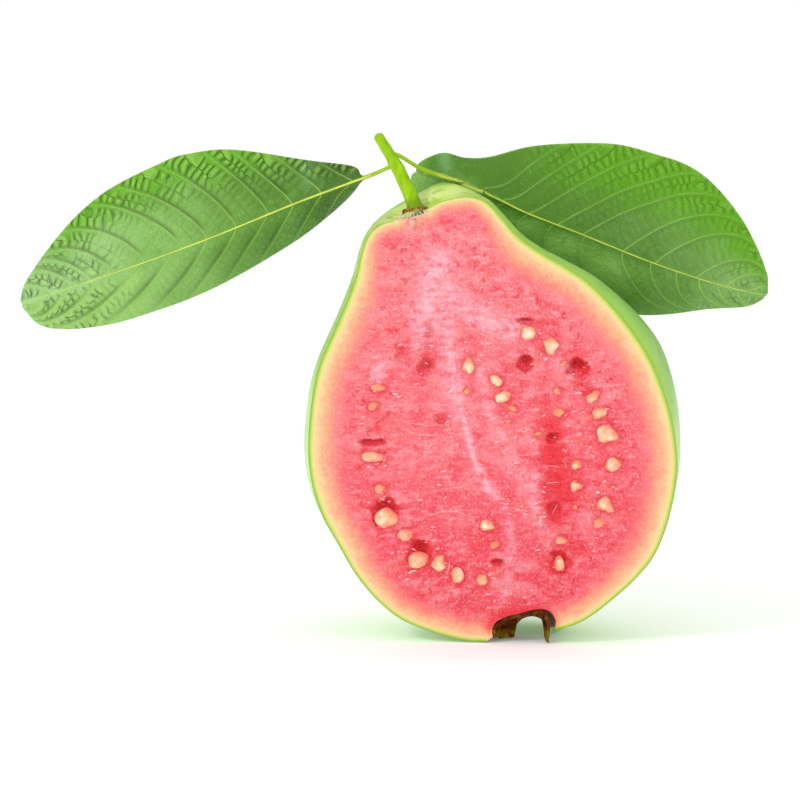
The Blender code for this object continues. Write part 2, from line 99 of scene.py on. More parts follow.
BACK_RIM = [(7.6, -4.8), (9.8, -6.8), (13.5, -7.7), (19.0, -7.5), (24.2, -5.2), (29.8, 0.0),
            (36.2, 9.5), (40.6, 20.0), (42.0, 31.0), (40.3, 41.0), (35.5, 50.5), (28.5, 60.5),
            (22.0, 68.5), (18.2, 74.4), (15.2, 79.4), (11.4, 82.1), (7.4, 81.7), (4.2, 79.8)]
SOCKET = [(2.0, 79.3), (0.0, 79.2)]
CALYX_HOLLOW = [(0.0, 0.0), (3.1, -0.05), (5.2, -0.7), (6.1, -2.0), (6.3, -3.2)]
HOLLOW_STEPS = 22
SKIN_STEPS = 280
TURN_STEPS = 100

# How much rounder the fruit is just behind the cut than at the cut, right and left, and how much
# of that the neck loses on the right.
RIGHT_FULLNESS = 15.0
LEFT_FULLNESS = 11.5
FULLNESS_AT_OUT = 36.0
FULLNESS_START = 2.0
FULLNESS_FULL = 45.0
RIGHT_NECK_LOSS = 0.45
NECK_START = 48.0
NECK_FULL = 68.0
# One shoulder beside the stem stands higher than the other.
SHOULDER_RISE = 2.2
SHOULDER_TURN = math.radians(56)
SHOULDER_SPREAD = math.radians(30)
SHOULDER_OUT = 13.0
SHOULDER_WIDTH = 7.0
# The two crests of the cut face beside the stem, as X and Z, and how far round them the rind thins.
CRESTS = [(-7.0, 86.0), (-20.5, 81.2)]
CREST_SPREAD = 8.5
# How much faster the rind is counted in all, at the base (between two heights) and at the crests.
RIND_RATE = 1.12
RIND_RATE_AT_BASE = 0.35
RIND_BASE_HEIGHTS = (4.0, 26.0)
RIND_RATE_AT_CREST = 1.5
RIM_POINTS = 240
# Upper edge of the notch that holds the calyx, as X and Z.
NOTCH = [(-0.6, 3.0), (0.3, 5.0), (2.5, 5.9), (5.4, 6.2), (8.4, 6.7), (10.6, 6.5), (11.6, 5.2),
         (12.0, 4.0)]
# The skin's low bumps, which point away from the core: lump size, seed and height.
SKIN_BUMPS = [(13.0, 1.0, 0.28), (4.5, 2.0, 0.07)]
CORE_ALONG = 38.0
CORE_DEPTH = 6.0
# Furrow under the base that lets light through behind the calyx, and the height it stays below.
FURROW_BELOW = 12.0
FURROW_CENTRE = (6.6, 20.0)
FURROW_RADII = (4.7, 26.0, 5.1)
FURROW_TURN = math.radians(4.5)

# Seeds in the cut face: X, Z, length, width, tilt in degrees and how far they stand out.
SEEDS = [(-22.1, 49.4, 3.7, 1.9, 8, 0.5), (-22.9, 45.9, 3.0, 2.1, 20, 0.4),
         (-23.1, 36.0, 4.4, 2.3, 3, 0.9), (-4.6, 53.9, 3.6, 2.9, 100, 0.9),
         (0.8, 50.9, 3.1, 2.1, -20, 0.8), (-4.8, 48.9, 2.2, 1.8, 0, 0.4),
         (2.0, 47.9, 3.1, 2.4, 25, 0.9), (3.9, 45.7, 2.2, 1.5, -25, 0.5),
         (6.7, 60.0, 4.0, 3.3, -120, 0.7), (11.1, 57.5, 4.0, 2.9, -100, 0.9),
         (19.3, 48.2, 3.8, 2.1, 35, 0.6), (20.6, 44.9, 3.3, 2.7, 20, 0.8),
         (12.9, 44.9, 3.0, 1.8, 5, 0.5), (12.6, 49.1, 2.2, 1.9, 0, 0.4),
         (22.1, 40.9, 4.4, 3.3, -10, 1.0), (23.4, 35.0, 3.8, 2.8, 10, 0.9),
         (16.3, 34.8, 2.5, 2.0, 0, 0.7), (16.2, 30.8, 2.5, 2.1, 0, 0.7),
         (22.0, 27.0, 3.9, 3.0, -40, 0.9), (20.4, 23.8, 3.0, 2.5, 100, 0.5),
         (13.4, 20.1, 2.7, 2.0, 0, 0.8), (12.8, 15.6, 3.1, 2.2, 95, 0.8),
         (-0.8, 22.9, 3.2, 2.3, -15, 0.9), (0.7, 19.1, 2.8, 2.2, -20, 0.5),
         (-21.6, 29.9, 3.4, 2.3, 15, 0.5), (-20.4, 24.0, 5.0, 3.8, -8, 1.0),
         (-16.7, 21.0, 3.7, 2.9, 20, 0.6), (-14.0, 16.0, 4.4, 3.4, 15, 0.9),
         (-10.3, 15.5, 3.8, 2.8, 65, 0.9), (-6.7, 13.2, 3.6, 2.6, 95, 0.9),
         (-2.0, 12.5, 2.9, 2.3, 100, 0.8)]
SEED_HALF_THICKNESS = 1.3
SEED_SIDES = 22
SEED_RINGS = 14
SEED_TAPER = 0.28
SEED_LUMP = 2.2
SEED_LIP = 0.16
# Seeds that stand out no further than this are veiled by pulp, this strongly.
VEILED_BELOW = 0.5
VEIL = 0.75
# Drops of juice, pale so that they stand as painted wet glints on the pulp: sides, rings, random seed, radius
# of the smallest and how long they are drawn out.
DROP_SIDES = 7
DROP_RINGS = 5
DROP_SEED = 7
DROP_SMALLEST = 0.04
DROP_LENGTH = 4.0
# Seeds that only just show, which are too small for the solid.
SMALL_SEEDS = [(13.7, 54.5, 1.9, 1.1, 30, 0.35), (9.0, 40.9, 1.7, 1.2, 0, 0.35),
               (3.3, 43.2, 1.6, 1.1, 15, 0.3), (23.1, 30.8, 1.7, 1.1, -10, 0.35),
               (16.0, 26.6, 2.2, 1.5, -60, 0.35), (9.3, 56.0, 1.6, 1.0, 25, 0.3)]

# Hollows in the pulp: X, Z, width, height, depth and how dark they are, both redder and with painted shade in
# their upper part.
POCKETS = [(16.6, 53.5, 4.2, 3.9, 2.4, 1.0), (6.4, 54.4, 3.4, 3.5, 2.0, 0.9),
           (11.3, 40.0, 2.3, 2.0, 1.4, 1.0), (11.8, 26.0, 2.9, 3.5, 1.2, 0.5),
           (-20.7, 25.4, 5.8, 5.4, 1.3, 1.0), (-14.2, 17.5, 5.3, 5.2, 1.3, 1.0),
           (-23.2, 38.9, 5.4, 1.4, 1.4, 0.8), (-12.9, 53.3, 3.3, 3.8, 0.9, 0.6),
           (-17.5, 56.0, 2.9, 2.9, 0.6, 0.1), (-12.2, 59.3, 2.4, 5.8, 0.5, 0.2),
           (-9.4, 43.5, 3.4, 2.3, 0.5, 0.1), (6.3, 62.5, 3.9, 1.3, 1.3, 0.8),
           (0.9, 15.8, 3.0, 1.5, 1.2, 0.7), (12.8, 16.0, 4.8, 4.8, 1.1, 0.8)]
# How much of its depth a hollow really gets, and how high its lip stands.
POCKET_SHALLOWING = 0.45
POCKET_LIP = 0.16

# How pale the pulp is at each height, from -1 to 1, and softer changes: X, Z, half width, half
# height and how much paler.
TONE_BY_HEIGHT = [(3.0, -1.0), (12.0, -0.8), (22.0, -0.45), (36.0, 0.0), (50.0, 0.2), (76.0, 0.5)]
TONES = [(-8.0, 38.0, 10.0, 12.0, 0.20), (22.0, 42.0, 6.0, 14.0, -0.10), (-2.0, 52.0, 8.0, 6.0, 0.10)]

# Noise over the cut face: lump size, seed and how much its lumps are drawn out sideways.
PULP_GRAINS = {"fine": (0.8, 3.0, 1.0), "broad": (3.2, 8.0, 1.0), "ragged": (1.5, 5.0, 1.0),
               "cloudy": (6.0, 2.0, 1.0), "combed": (0.9, 6.0, 0.32)}
PULP_HIGHEST = 0.5

# Pale parts of the core as X and Z, each with its half width and strength.
STRANDS = [([(-10.2, 73.5), (-12.2, 67.6), (-12.6, 61.0)], 2.5, 0.80),
           ([(-10.0, 71.5), (-6.4, 65.6), (1.4, 61.8), (5.5, 60.4)], 1.9, 0.65),
           ([(-9.6, 68.0), (-8.4, 58.7), (-8.0, 52.0), (-6.5, 44.8)], 1.7, 0.60),
           ([(-9.0, 73.6), (-8.0, 66.4), (-8.6, 58.7), (-6.4, 49.8), (-5.3, 42.0)], 0.60, 0.70),
           ([(-5.3, 42.6), (-4.6, 40.0), (-3.4, 35.5), (-0.7, 29.9)], 0.62, 1.00),
           ([(-0.7, 29.9), (2.0, 26.8), (3.4, 21.9), (3.6, 15.8), (2.1, 8.4)], 0.8, 0.40),
           ([(-2.5, 54.0), (-0.6, 44.8), (3.0, 38.4), (5.5, 33.0), (8.0, 27.0)], 1.0, 0.40),
           ([(-21.7, 54.6), (-22.5, 51.4)], 1.3, 0.55),
           ([(8.2, 33.0), (7.8, 28.5), (8.8, 23.5)], 0.9, 0.55),
           ([(12.0, 54.5), (15.0, 52.0)], 0.9, 0.40),
           ([(2.0, 36.0), (6.0, 31.0)], 1.2, 0.30)]
STRAND_POINTS = 40
STRAND_RISE = 0.12

# Deep red parts of the pulp: X, Z, half width, half height and strength.
RED_PATCHES = [(11.2, 42.2, 2.8, 3.6, 0.95), (11.8, 36.6, 2.7, 4.0, 1.60), (12.4, 31.4, 2.8, 4.2, 1.40),
               (14.4, 28.6, 1.9, 1.7, 1.10), (11.8, 26.2, 2.3, 2.8, 1.10), (15.0, 32.6, 3.6, 4.4, 0.50),
               (8.0, 61.9, 4.6, 1.1, 0.65), (-2.1, 19.2, 1.6, 1.3, 0.55), (-22.2, 41.4, 2.2, 1.0, 0.55),
               (16.6, 19.0, 2.2, 1.8, 0.60), (9.2, 57.4, 1.6, 1.8, 0.55), (5.0, 53.4, 2.0, 1.4, 0.35),
               (15.6, 55.4, 2.2, 1.3, 0.50), (17.6, 51.0, 1.5, 2.0, 0.55), (-3.8, 36.5, 1.2, 1.2, 0.25),
               (10.6, 46.6, 2.4, 2.2, 0.45), (-12.6, 57.0, 1.3, 4.2, 0.45), (2.0, 45.4, 1.6, 1.2, 0.40),
               (20.8, 38.0, 1.2, 1.2, 0.35), (-24.6, 36.9, 1.0, 1.4, 0.45), (23.0, 43.2, 0.9, 0.9, 0.75)]
PATCH_SINK = 0.30

# Thin threads that lie on the pulp, as X and Z.
THREADS = [[(-20.6, 44.0), (-15.5, 42.6), (-9.0, 42.4), (-7.2, 44.2)],
           [(-19.8, 42.6), (-14.0, 40.4), (-8.6, 40.6)], [(-12.6, 47.0), (-6.4, 45.6), (-3.6, 46.2)],
           [(-17.0, 39.0), (-12.6, 38.4), (-9.0, 39.4)], [(6.9, 29.0), (8.2, 25.4), (8.6, 22.6)],
           [(9.6, 24.8), (9.0, 20.4), (8.0, 17.6)], [(10.4, 34.6), (12.8, 34.5)],
           [(10.2, 31.2), (13.0, 31.5)], [(-16.0, 23.4), (-9.0, 25.6), (-4.4, 24.6), (-2.6, 21.8)],
           [(-13.0, 29.2), (-6.0, 30.2), (-2.0, 27.4)], [(-4.6, 13.6), (-4.4, 16.4)],
           [(-8.6, 13.2), (-8.2, 16.2)], [(4.4, 36.6), (8.6, 36.8)], [(14.2, 47.6), (15.6, 50.6)],
           [(17.2, 50.6), (18.6, 51.8)], [(-21.4, 34.2), (-20.0, 37.4)], [(1.4, 62.4), (6.6, 60.8)],
           [(-6.0, 62.4), (-0.4, 59.0), (3.6, 58.2)], [(11.4, 25.2), (12.6, 27.4)],
           [(-23.8, 37.2), (-21.4, 38.2)], [(0.5, 39.5), (4.0, 34.6), (6.0, 30.4)]]
THREAD_POINTS = 22
THREAD_HALF_WIDTH = 0.075
THREAD_WAVER = 0.12
THREAD_LIFT = 0.03
# Sides of the tubes that make threads, veins and fibres.
TUBE_SIDES = 6
# Distance between the points of the cut face.
PULP_SPACING = 0.34
# Speckles of the pulp: size in millimetres, two noise levels, stretch, strength and colour.
PULP_SPECKLES = [(3.0, 0.48, 0.66, (0.6, 1.0, 1.1), 0.55, (255, 152, 162)),
                 (2.3, 0.50, 0.66, (0.7, 1.0, 1.0), 0.70, (246, 44, 72)),
                 (0.9, 0.50, 0.68, (0.4, 1.0, 1.1), 0.40, (255, 176, 184)),
                 (0.7, 0.54, 0.70, (0.8, 1.0, 1.0), 0.40, (236, 38, 66)),
                 (0.5, 0.60, 0.72, (0.6, 1.0, 1.0), 0.50, (255, 206, 210))]
# Colours from the rind line inwards, as a share of this many millimetres and 0 to 255 values.
RIND_SPAN = 10.0
RIND_COLOURS = [(0.0, (118, 172, 34)), (0.035, (164, 202, 66)), (0.07, (212, 216, 100)),
                (0.11, (236, 216, 142)), (0.18, (240, 204, 148)), (0.28, (245, 182, 134)),
                (0.41, (248, 160, 122)), (0.56, (249, 138, 120))]
RIND_END = 0.75
# Tones of the pulp that are deeper and paler than its middle one.
PULP_DEEPER = [(0.0, (246, 48, 80)), (0.28, (252, 68, 94))]
PULP_PALER = [(0.75, (255, 118, 130)), (1.0, (255, 154, 160))]
# Marks laid over the pulp: pale strands, painted shade in deep red over the hollows' upper parts, and the
# stem's scar.
PULP_MARKS = [("pale", (255, 190, 204)), ("shaded_hole", (200, 0, 16)), ("scar", (226, 214, 168))]
# Colours of the skin back from the cut, as a share of this many millimetres, then its mottles:
# size, two noise levels, detail, strength and colour.
SKIN_SPAN = 14.0
SKIN_COLOURS = [(0.0, (170, 214, 62)), (0.20, (176, 222, 100)), (0.45, (168, 220, 116))]
SKIN_MOTTLES = [(12.0, 0.42, 0.66, 4.0, 0.55, (178, 218, 112)), (5.0, 0.56, 0.74, 3.0, 0.40, (110, 172, 62)),
                (0.9, 0.66, 0.74, 1.0, 0.35, (196, 222, 140))]

CALYX_ROOF = [(0.0, -0.10), (3.0, -0.16), (4.9, -0.80)]
CALYX_WALL_OUT = 5.85
CALYX_TIP_OUT = 5.5
CALYX_WALL_THICKNESS = 0.9
CALYX_ROOF_THICKNESS = 0.6
CALYX_EDGE = [(0, 0.2), (24, 0.2), (31, 1.6), (37, 3.6), (42, 4.6), (95, 4.8), (101, 3.4),
              (104, 1.8), (108, 0.3), (124, 0.2), (150, 0.4), (180, 1.6)]
CALYX_STEPS = 150

STEM_PATH = [(-15.2, 1.9, 84.6), (-16.6, 2.2, 87.6), (-18.3, 2.7, 91.1), (-20.2, 3.1, 94.3),
             (-22.2, 3.5, 97.4)]
STEM_RADII = [1.45, 1.3, 1.2, 1.05, 0.95]
STEM_FLARE = 1.8
# Fibres of the scar round the stem's foot: name, number, distance out, how far down, lengths, half
# width and two colours.
SCAR_FIBRES = [("scar_fibres", 76, 1.85, 0.0, (0.4, 1.2), 0.09, (88, 40, 6), (190, 118, 44)),
               ("scar_threads", 44, 2.3, 0.7, (0.8, 1.9), 0.07, (206, 190, 140), (240, 226, 190))]
SCAR_SEED = 11
STEM_SIDES = 48
STEM_STEPS = 150
STEM_SINK = 0.8
FLARE_STEPS = 8
# Knuckles on the stem: how far up, height, and how much higher on one side.
KNUCKLES = [(0.62, 0.16, 0.4), (0.52, 0.12, -0.4)]
KNUCKLE_SPREAD = 0.05

PETIOLE_RADIUS = 0.38
PETIOLE_STEPS = 30
BLADE_HALF_THICKNESS = 0.32
RIB_RISE = 0.25
QUILT_WAVES = 8
QUILT_HEIGHT = 0.35
LADDER_PITCH = 1.5
# Points along a midrib, how many petiole steps it starts back, and how often it is evened out.
RIB_POINTS = 150
RIB_OVERLAP = 10.0
RIB_EVENING = 12
BLADE_STEPS = 300
BLADE_COLUMNS = 54
COLUMN_POWER = 1.15
# How far the ladder of folds is shifted from one side vein to the next.
VEIN_SHIFT = 7.3
# Half widths of the midrib in front, of a side vein behind and of the midrib behind.
RIB_HALF_WIDTH = 0.22
BACK_VEIN_HALF_WIDTH = 0.22
BACK_RIB_HALF_WIDTH = 0.42
# Greens of each blade from its base to its tip, as a share of its length and 0 to 255 values.
LEFT_GREENS = [(0.10, (70, 114, 34)), (0.32, (98, 150, 56)), (0.60, (132, 184, 92)), (0.90, (162, 206, 132))]
# The right blade's lighter first green is a painted highlight near its base.
RIGHT_GREENS = [(0.02, (124, 172, 76)), (0.16, (84, 136, 36)), (0.60, (88, 136, 50)), (0.93, (132, 176, 96))]
# Each leaf: points of its petiole, midrib and two edges, and its side veins, as the share of the
# midrib where each starts and how much further along it ends, with the power that bends them. The
# other entries are shares of the blade's length or width, strengths and heights:
# lit: where the upper half lets light through, along it and out to its edge.
# folded, folded_tip, smooth_base, fold: where the ladder of small folds begins and how strong it is, in
# relief and in its painted shade and highlights.
# lee: how dark the painted shade on the far side of a side vein is.
# quilt, ladder: how high the pillows between side veins and the small folds stand.
# pale_low: where the lower half is paler; on the right blade this is painted light over the shade of the
# fruit's shoulder. sheen: a line that gleams, and how strongly.
LEFT_LEAF = {
    "petiole": [(-19.2, 2.9, 92.1), (-20.3, 3.2, 91.6), (-23.0, 5.6, 90.4), (-25.2, 8.2, 89.5)],
    "midrib": [(-25.8, 9.0, 89.3), (-38.9, 10.2, 84.4), (-56.6, 11.6, 77.2), (-75.2, 13.0, 70.4),
               (-93.8, 14.2, 64.2)],
    "upper": [(-26.2, 9.4, 89.9), (-28.1, 11.5, 91.5), (-37.0, 14.5, 92.5), (-52.1, 16.5, 94.5),
              (-61.7, 17.0, 93.5), (-67.1, 17.2, 91.5), (-76.7, 17.5, 86.7), (-83.4, 17.2, 81.3),
              (-88.9, 16.5, 74.9), (-93.3, 15.2, 68.3), (-94.2, 14.3, 64.7)],
    "lower": [(-26.0, 9.6, 89.0), (-28.4, 12.5, 86.0), (-32.7, 15.0, 82.1), (-39.5, 16.5, 76.9),
              (-51.1, 18.0, 69.9), (-60.8, 18.5, 65.2), (-70.7, 18.2, 61.7), (-77.1, 17.8, 59.9),
              (-85.2, 16.5, 59.0), (-90.6, 15.4, 59.9), (-93.7, 14.4, 63.2)],
    "veins": {"upper": [(0.03, 0.10), (0.12, 0.12), (0.205, 0.14), (0.275, 0.14), (0.37, 0.16),
                        (0.455, 0.19), (0.53, 0.19), (0.64, 0.17), (0.73, 0.15), (0.80, 0.10),
                        (0.85, 0.08), (0.92, 0.05)],
              "lower": [(0.04, 0.12), (0.12, 0.14), (0.20, 0.16), (0.28, 0.18), (0.37, 0.19),
                        (0.455, 0.20), (0.56, 0.22), (0.66, 0.24), (0.78, 0.18), (0.87, 0.11),
                        (0.94, 0.05)]},
    "bend": {"upper": 1.5, "lower": 1.2},
    "lit": (0.25, 0.86, (0.40, 1.00)),
    "folded": (0.30, 0.85),
    "folded_tip": (0.66, 0.84),
    "fold": 1.0,
    "lee": 1.0,
    "quilt": 0.75,
    "ladder": 0.17,
    "pale_low": (0.70, 0.95),
    "sheen": ([(-36.8, 88.0), (-37.2, 91.6)], 0.25),
    "smooth_base": (0.0, 0.05),
}
RIGHT_LEAF = {
    "petiole": [(-19.4, 3.0, 94.3), (-17.9, 3.3, 93.7), (-14.3, 5.0, 91.4), (-10.5, 7.2, 89.9),
                (-8.2, 9.4, 89.1)],
    "midrib": [(-7.4, 10.3, 88.8), (-4.0, 13.6, 87.1), (0.8, 16.4, 84.8), (5.6, 18.0, 82.3),
               (16.4, 18.8, 78.1), (30.0, 17.5, 72.8), (42.1, 15.5, 68.9), (52.2, 13.5, 66.6)],
    "upper": [(-7.8, 10.8, 89.3), (-12.4, 13.2, 90.0), (-15.6, 14.4, 90.2), (-15.4, 14.8, 91.9),
              (-13.4, 15.2, 93.2), (-10.4, 16.5, 94.0), (-6.6, 18.2, 93.0), (-1.9, 20.0, 93.1),
              (5.7, 22.5, 95.0), (14.3, 23.5, 95.7), (23.4, 23.0, 95.5), (30.9, 22.0, 93.6),
              (37.1, 21.0, 91.5), (42.2, 19.8, 87.8), (47.1, 18.0, 82.0), (50.4, 16.2, 76.2),
              (52.6, 14.4, 70.5), (52.7, 13.6, 67.1)],
    "lower": [(-8.0, 11.4, 88.9), (-12.6, 15.5, 90.4), (-16.6, 17.8, 90.0), (-17.0, 19.6, 87.0),
              (-15.6, 21.5, 84.0), (-11.3, 24.0, 80.5), (-0.2, 27.0, 73.1), (11.3, 28.5, 66.7),
              (20.0, 27.5, 63.7), (26.9, 25.0, 62.0), (33.6, 22.0, 62.3), (41.2, 18.8, 63.6),
              (48.6, 15.0, 64.4), (51.8, 13.7, 66.0)],
    "veins": {"upper": [(0.09, 0.33), (0.17, 0.33), (0.26, 0.345), (0.35, 0.36),
                        (0.43, 0.36), (0.56, 0.29), (0.66, 0.24), (0.79, 0.17), (0.88, 0.10),
                        (0.95, 0.05)],
              "lower": [(0.04, 0.16), (0.11, 0.17), (0.18, 0.18), (0.26, 0.19), (0.34, 0.20),
                        (0.44, 0.21), (0.56, 0.26), (0.65, 0.20), (0.73, 0.14), (0.80, 0.12),
                        (0.86, 0.08), (0.92, 0.05)]},
    "bend": {"upper": 1.05, "lower": 1.25},
    "lit": (0.42, 0.98, (0.15, 0.80)),
    "folded": (0.20, 0.95),
    "folded_tip": (0.78, 0.96),
    "fold": 0.5,
    "lee": 0.55,
    "quilt": 0.30,
    "ladder": 0.09,
    "pale_low": (0.02, 0.55),
    "sheen": ([(-10.6, 94.2), (-10.0, 91.0)], 0.42),
    "smooth_base": (0.28, 0.46),
}


def smooth_path(points, count):
    """Points at equal steps along a smooth curve through the given points."""
    given = np.array(points, dtype=float)
    before = 2.0 * given[0] - given[1]
    after = 2.0 * given[-1] - given[-2]
    padded = np.vstack([before, given, after])
    fine = []
    for index in range(1, len(padded) - 2):
        p0, p1, p2, p3 = padded[index - 1:index + 3]
        for step in range(12):
            u = step / 12.0
            fine.append(0.5 * (2.0 * p1 + (p2 - p0) * u
                               + (2.0 * p0 - 5.0 * p1 + 4.0 * p2 - p3) * u ** 2
                               + (3.0 * p1 - 3.0 * p2 + p3 - p0) * u ** 3))
    fine.append(given[-1])
    fine = np.array(fine)
    lengths = np.linalg.norm(np.diff(fine, axis=0), axis=1)
    walked = np.concatenate([[0.0], np.cumsum(lengths)])
    wanted = np.linspace(0.0, walked[-1], count)
    return np.stack([np.interp(wanted, walked, fine[:, k]) for k in range(given.shape[1])], axis=1)


def smooth_step(value, low, high):
    """0 below low, 1 above high and a soft change between."""
    u = np.clip((value - low) / (high - low), 0.0, 1.0)
    return u * u * (3.0 - 2.0 * u)


def bell(value, width):
    """1 at zero, fading over the width on both sides."""
    return np.exp(-(value / width) ** 2)


def grain(points, size, seed=0.0):
    """Smooth noise from -1 to 1 at each point, with lumps of the given size."""
    shifted = np.asarray(points) / size + np.array([seed, 1.7 * seed, -0.6 * seed])
    flat = shifted.reshape(-1, 3)
    values = np.fromiter((noise.noise(Vector(p)) for p in flat), float, len(flat))
    return values.reshape(shifted.shape[:-1])


AXIS = np.array(AXIS_HEAD) - np.array(AXIS_FOOT)
AXIS /= np.linalg.norm(AXIS)
ACROSS = np.array([AXIS[1], -AXIS[0]])


def out_and_along(point):
    """Distance of a cut-plane point out from the fruit's axis and along it."""
    offset = np.array(point) - np.array(AXIS_FOOT)
    return abs(float(offset @ ACROSS)), float(offset @ AXIS)


def in_space(out, along, turn):
    """Points at turns round the fruit's axis, 0 at the right of the cut face."""
    sideways = out * np.cos(turn)
    x = AXIS_FOOT[0] + sideways * ACROSS[0] + along * AXIS[0]
    z = AXIS_FOOT[1] + sideways * ACROSS[1] + along * AXIS[1]
    return np.stack([x, out * np.sin(turn), z], axis=-1)


def fruit_skin():
    """The fruit's surface as a grid of points: hollow and skin steps by turns round the axis."""
    hollow = smooth_path(CALYX_HOLLOW, HOLLOW_STEPS)
    profiles = []
    for rim in ([out_and_along(p) for p in RIGHT_RIM], [out_and_along(p) for p in LEFT_RIM], BACK_RIM):
        profiles.append(np.vstack([hollow, smooth_path(rim + SOCKET, SKIN_STEPS)]))
    right, left, back = profiles
    turn = np.linspace(0.0, math.pi, TURN_STEPS + 1)[None, :]
    share = np.cos(turn) ** 2
    on_right = np.cos(turn) > 0.0
    side = np.where(on_right[..., None], right[:, None, :], left[:, None, :])
    mixed = share[..., None] * side + (1.0 - share[..., None]) * back[:, None, :]
    out, along = mixed[..., 0], mixed[..., 1]
    full = np.where(on_right, RIGHT_FULLNESS, LEFT_FULLNESS)
    full = full * smooth_step(along, FULLNESS_START, FULLNESS_FULL) * np.minimum(1.0, out / FULLNESS_AT_OUT)
    full *= np.where(on_right, 1.0 - RIGHT_NECK_LOSS * smooth_step(along, NECK_START, NECK_FULL), 1.0)
    is_skin = (np.arange(len(right)) >= HOLLOW_STEPS)[:, None]
    out = out + np.where(is_skin, full * np.sin(turn) * share, 0.0)
    lift = np.exp(-((turn - SHOULDER_TURN) / SHOULDER_SPREAD) ** 2) * bell(out - SHOULDER_OUT, SHOULDER_WIDTH)
    lift = lift * smooth_step(turn, 0.0, SHOULDER_TURN)
    lift = np.where((along > AXIS_HEAD[1] / 2.0) & is_skin, lift, 0.0)
    points = in_space(out, along + SHOULDER_RISE * lift, turn)
    points[:, 0, 1] = 0.0
    points[:, -1, 1] = 0.0
    return points


def stand_flat(points):
    """Cut the flat spot and the furrow under the base."""
    dx = points[..., 0] - FURROW_CENTRE[0]
    dy = points[..., 1] - FURROW_CENTRE[1]
    u = (dx * math.cos(FURROW_TURN) + dy * math.sin(FURROW_TURN)) / FURROW_RADII[0]
    v = (dy * math.cos(FURROW_TURN) - dx * math.sin(FURROW_TURN)) / FURROW_RADII[1]
    arch = FURROW_RADII[2] * np.sqrt(np.clip(1.0 - u ** 2 - v ** 2, 0.0, 1.0))
    low = points[..., 2] < FURROW_BELOW
    points[..., 2] = np.where(low, np.maximum(points[..., 2], arch), points[..., 2])
    return points


def in_box(metres):
    """Points kept inside the solid's box."""
    return np.clip(metres, np.array(CAD_BOX[0]) + 1e-6, np.array(CAD_BOX[1]) - 1e-6)


def to_part(points):
    """From millimetres beside the cut face to metres from the part's origin."""
    return in_box((np.asarray(points, dtype=float) - SPOT) * MM)


def add_piece(name, mesh, slot):
    """A piece of the fruit from a finished mesh."""
    piece = bpy.data.objects.new(name, mesh)
    bpy.context.scene.collection.objects.link(piece)
    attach(piece, "root")
    return piece


def point_outwards(mesh, merge=False):
    """Point a closed mesh's faces outwards, after merging doubles if asked."""
    bm = bmesh.new()
    bm.from_mesh(mesh)
    if merge:
        bmesh.ops.remove_doubles(bm, verts=bm.verts, dist=1e-7)
    bmesh.ops.recalc_face_normals(bm, faces=bm.faces)
    bm.to_mesh(mesh)
    bm.free()


def close_and_orient(piece):
    """Merge the poles' doubles, point the faces outwards and shade them smooth."""
    point_outwards(piece.data, merge=True)
    piece.data.shade_smooth()
    piece.data.set_sharp_from_angle(angle=math.radians(60))


def new_piece(name, points, faces, slot, material, attributes=None):
    """A piece of the fruit from points in millimetres, with values stored on them."""
    mesh = bpy.data.meshes.new(name)
    mesh.from_pydata(to_part(points).tolist(), [], faces)
    mesh.validate()
    for label, values in (attributes or {}).items():
        store = mesh.attributes.new(label, "FLOAT", "POINT")
        store.data.foreach_set("value", np.asarray(values, dtype=np.float32).ravel())
    mesh.shade_smooth()
    mesh.materials.append(material)
    return add_piece(name, mesh, slot)


def grid_faces(rows, columns, start=0, closed=False, flip=False):
    """Quads over a grid of points numbered row by row."""
    faces = []
    for i in range(rows - 1):
        for j in range(columns if closed else columns - 1):
            k = (j + 1) % columns
            quad = (start + i * columns + j, start + (i + 1) * columns + j,
                    start + (i + 1) * columns + k, start + i * columns + k)
            faces.append(quad[::-1] if flip else quad)
    return faces


def inside_outline(points, outline):
    """Whether each X, Z point lies inside a closed outline."""
    inside = np.zeros(len(points), bool)
    x, z = points[:, 0], points[:, 1]
    for (x0, z0), (x1, z1) in zip(outline, np.roll(outline, -1, axis=0)):
        if z0 == z1:
            continue
        crosses = (z0 > z) != (z1 > z)
        inside ^= crosses & (x < x0 + (z - z0) * (x1 - x0) / (z1 - z0))
    return inside


def distance_to_line(points, line, closed=False):
    """Distance of each X, Z point to a run of points."""
    best = np.full(len(points), 1e9)
    ends = np.roll(line, -1, axis=0) if closed else line[1:]
    for a, b in zip(line, ends):
        step = b - a
        length = float(step @ step)
        share = np.clip((points - a) @ step / length, 0.0, 1.0) if length > 0 else np.zeros(len(points))
        gap = points - a - share[:, None] * step
        best = np.minimum(best, (gap ** 2).sum(1))
    return np.sqrt(best)


def oval(points, x, z, width, height, tilt=0.0):
    """How far each X, Z point is from an oval's middle, 1 on its edge."""
    turn = math.radians(tilt)
    dx = points[:, 0] - x
    dz = points[:, 1] - z
    along = dx * math.cos(turn) + dz * math.sin(turn)
    up = dz * math.cos(turn) - dx * math.sin(turn)
    return np.sqrt((along / (width / 2.0)) ** 2 + (up / (height / 2.0)) ** 2)


def rind_reach(flat):
    """Millimetres in from the skin, counted faster where the rind is thinner."""
    right = distance_to_line(flat, smooth_path(RIGHT_RIM, RIM_POINTS))
    left = distance_to_line(flat, smooth_path(LEFT_RIM, RIM_POINTS))
    x, z = flat[:, 0], flat[:, 1]
    at_crest = sum(bell(np.hypot(x - crest_x, z - crest_z), CREST_SPREAD) for crest_x, crest_z in CRESTS)
    at_base = 1.0 - smooth_step(z, *RIND_BASE_HEIGHTS)
    return np.minimum(right, left) * (RIND_RATE + RIND_RATE_AT_BASE * at_base + RIND_RATE_AT_CREST * at_crest)


def pulp_grains(flat):
    """Noise of several sizes at X, Z points of the cut face."""
    points = np.column_stack([flat[:, 0], np.zeros(len(flat)), flat[:, 1]])
    return {name: grain(points * np.array([squeeze, 1.0, 1.0]), size, seed)
            for name, (size, seed, squeeze) in PULP_GRAINS.items()}


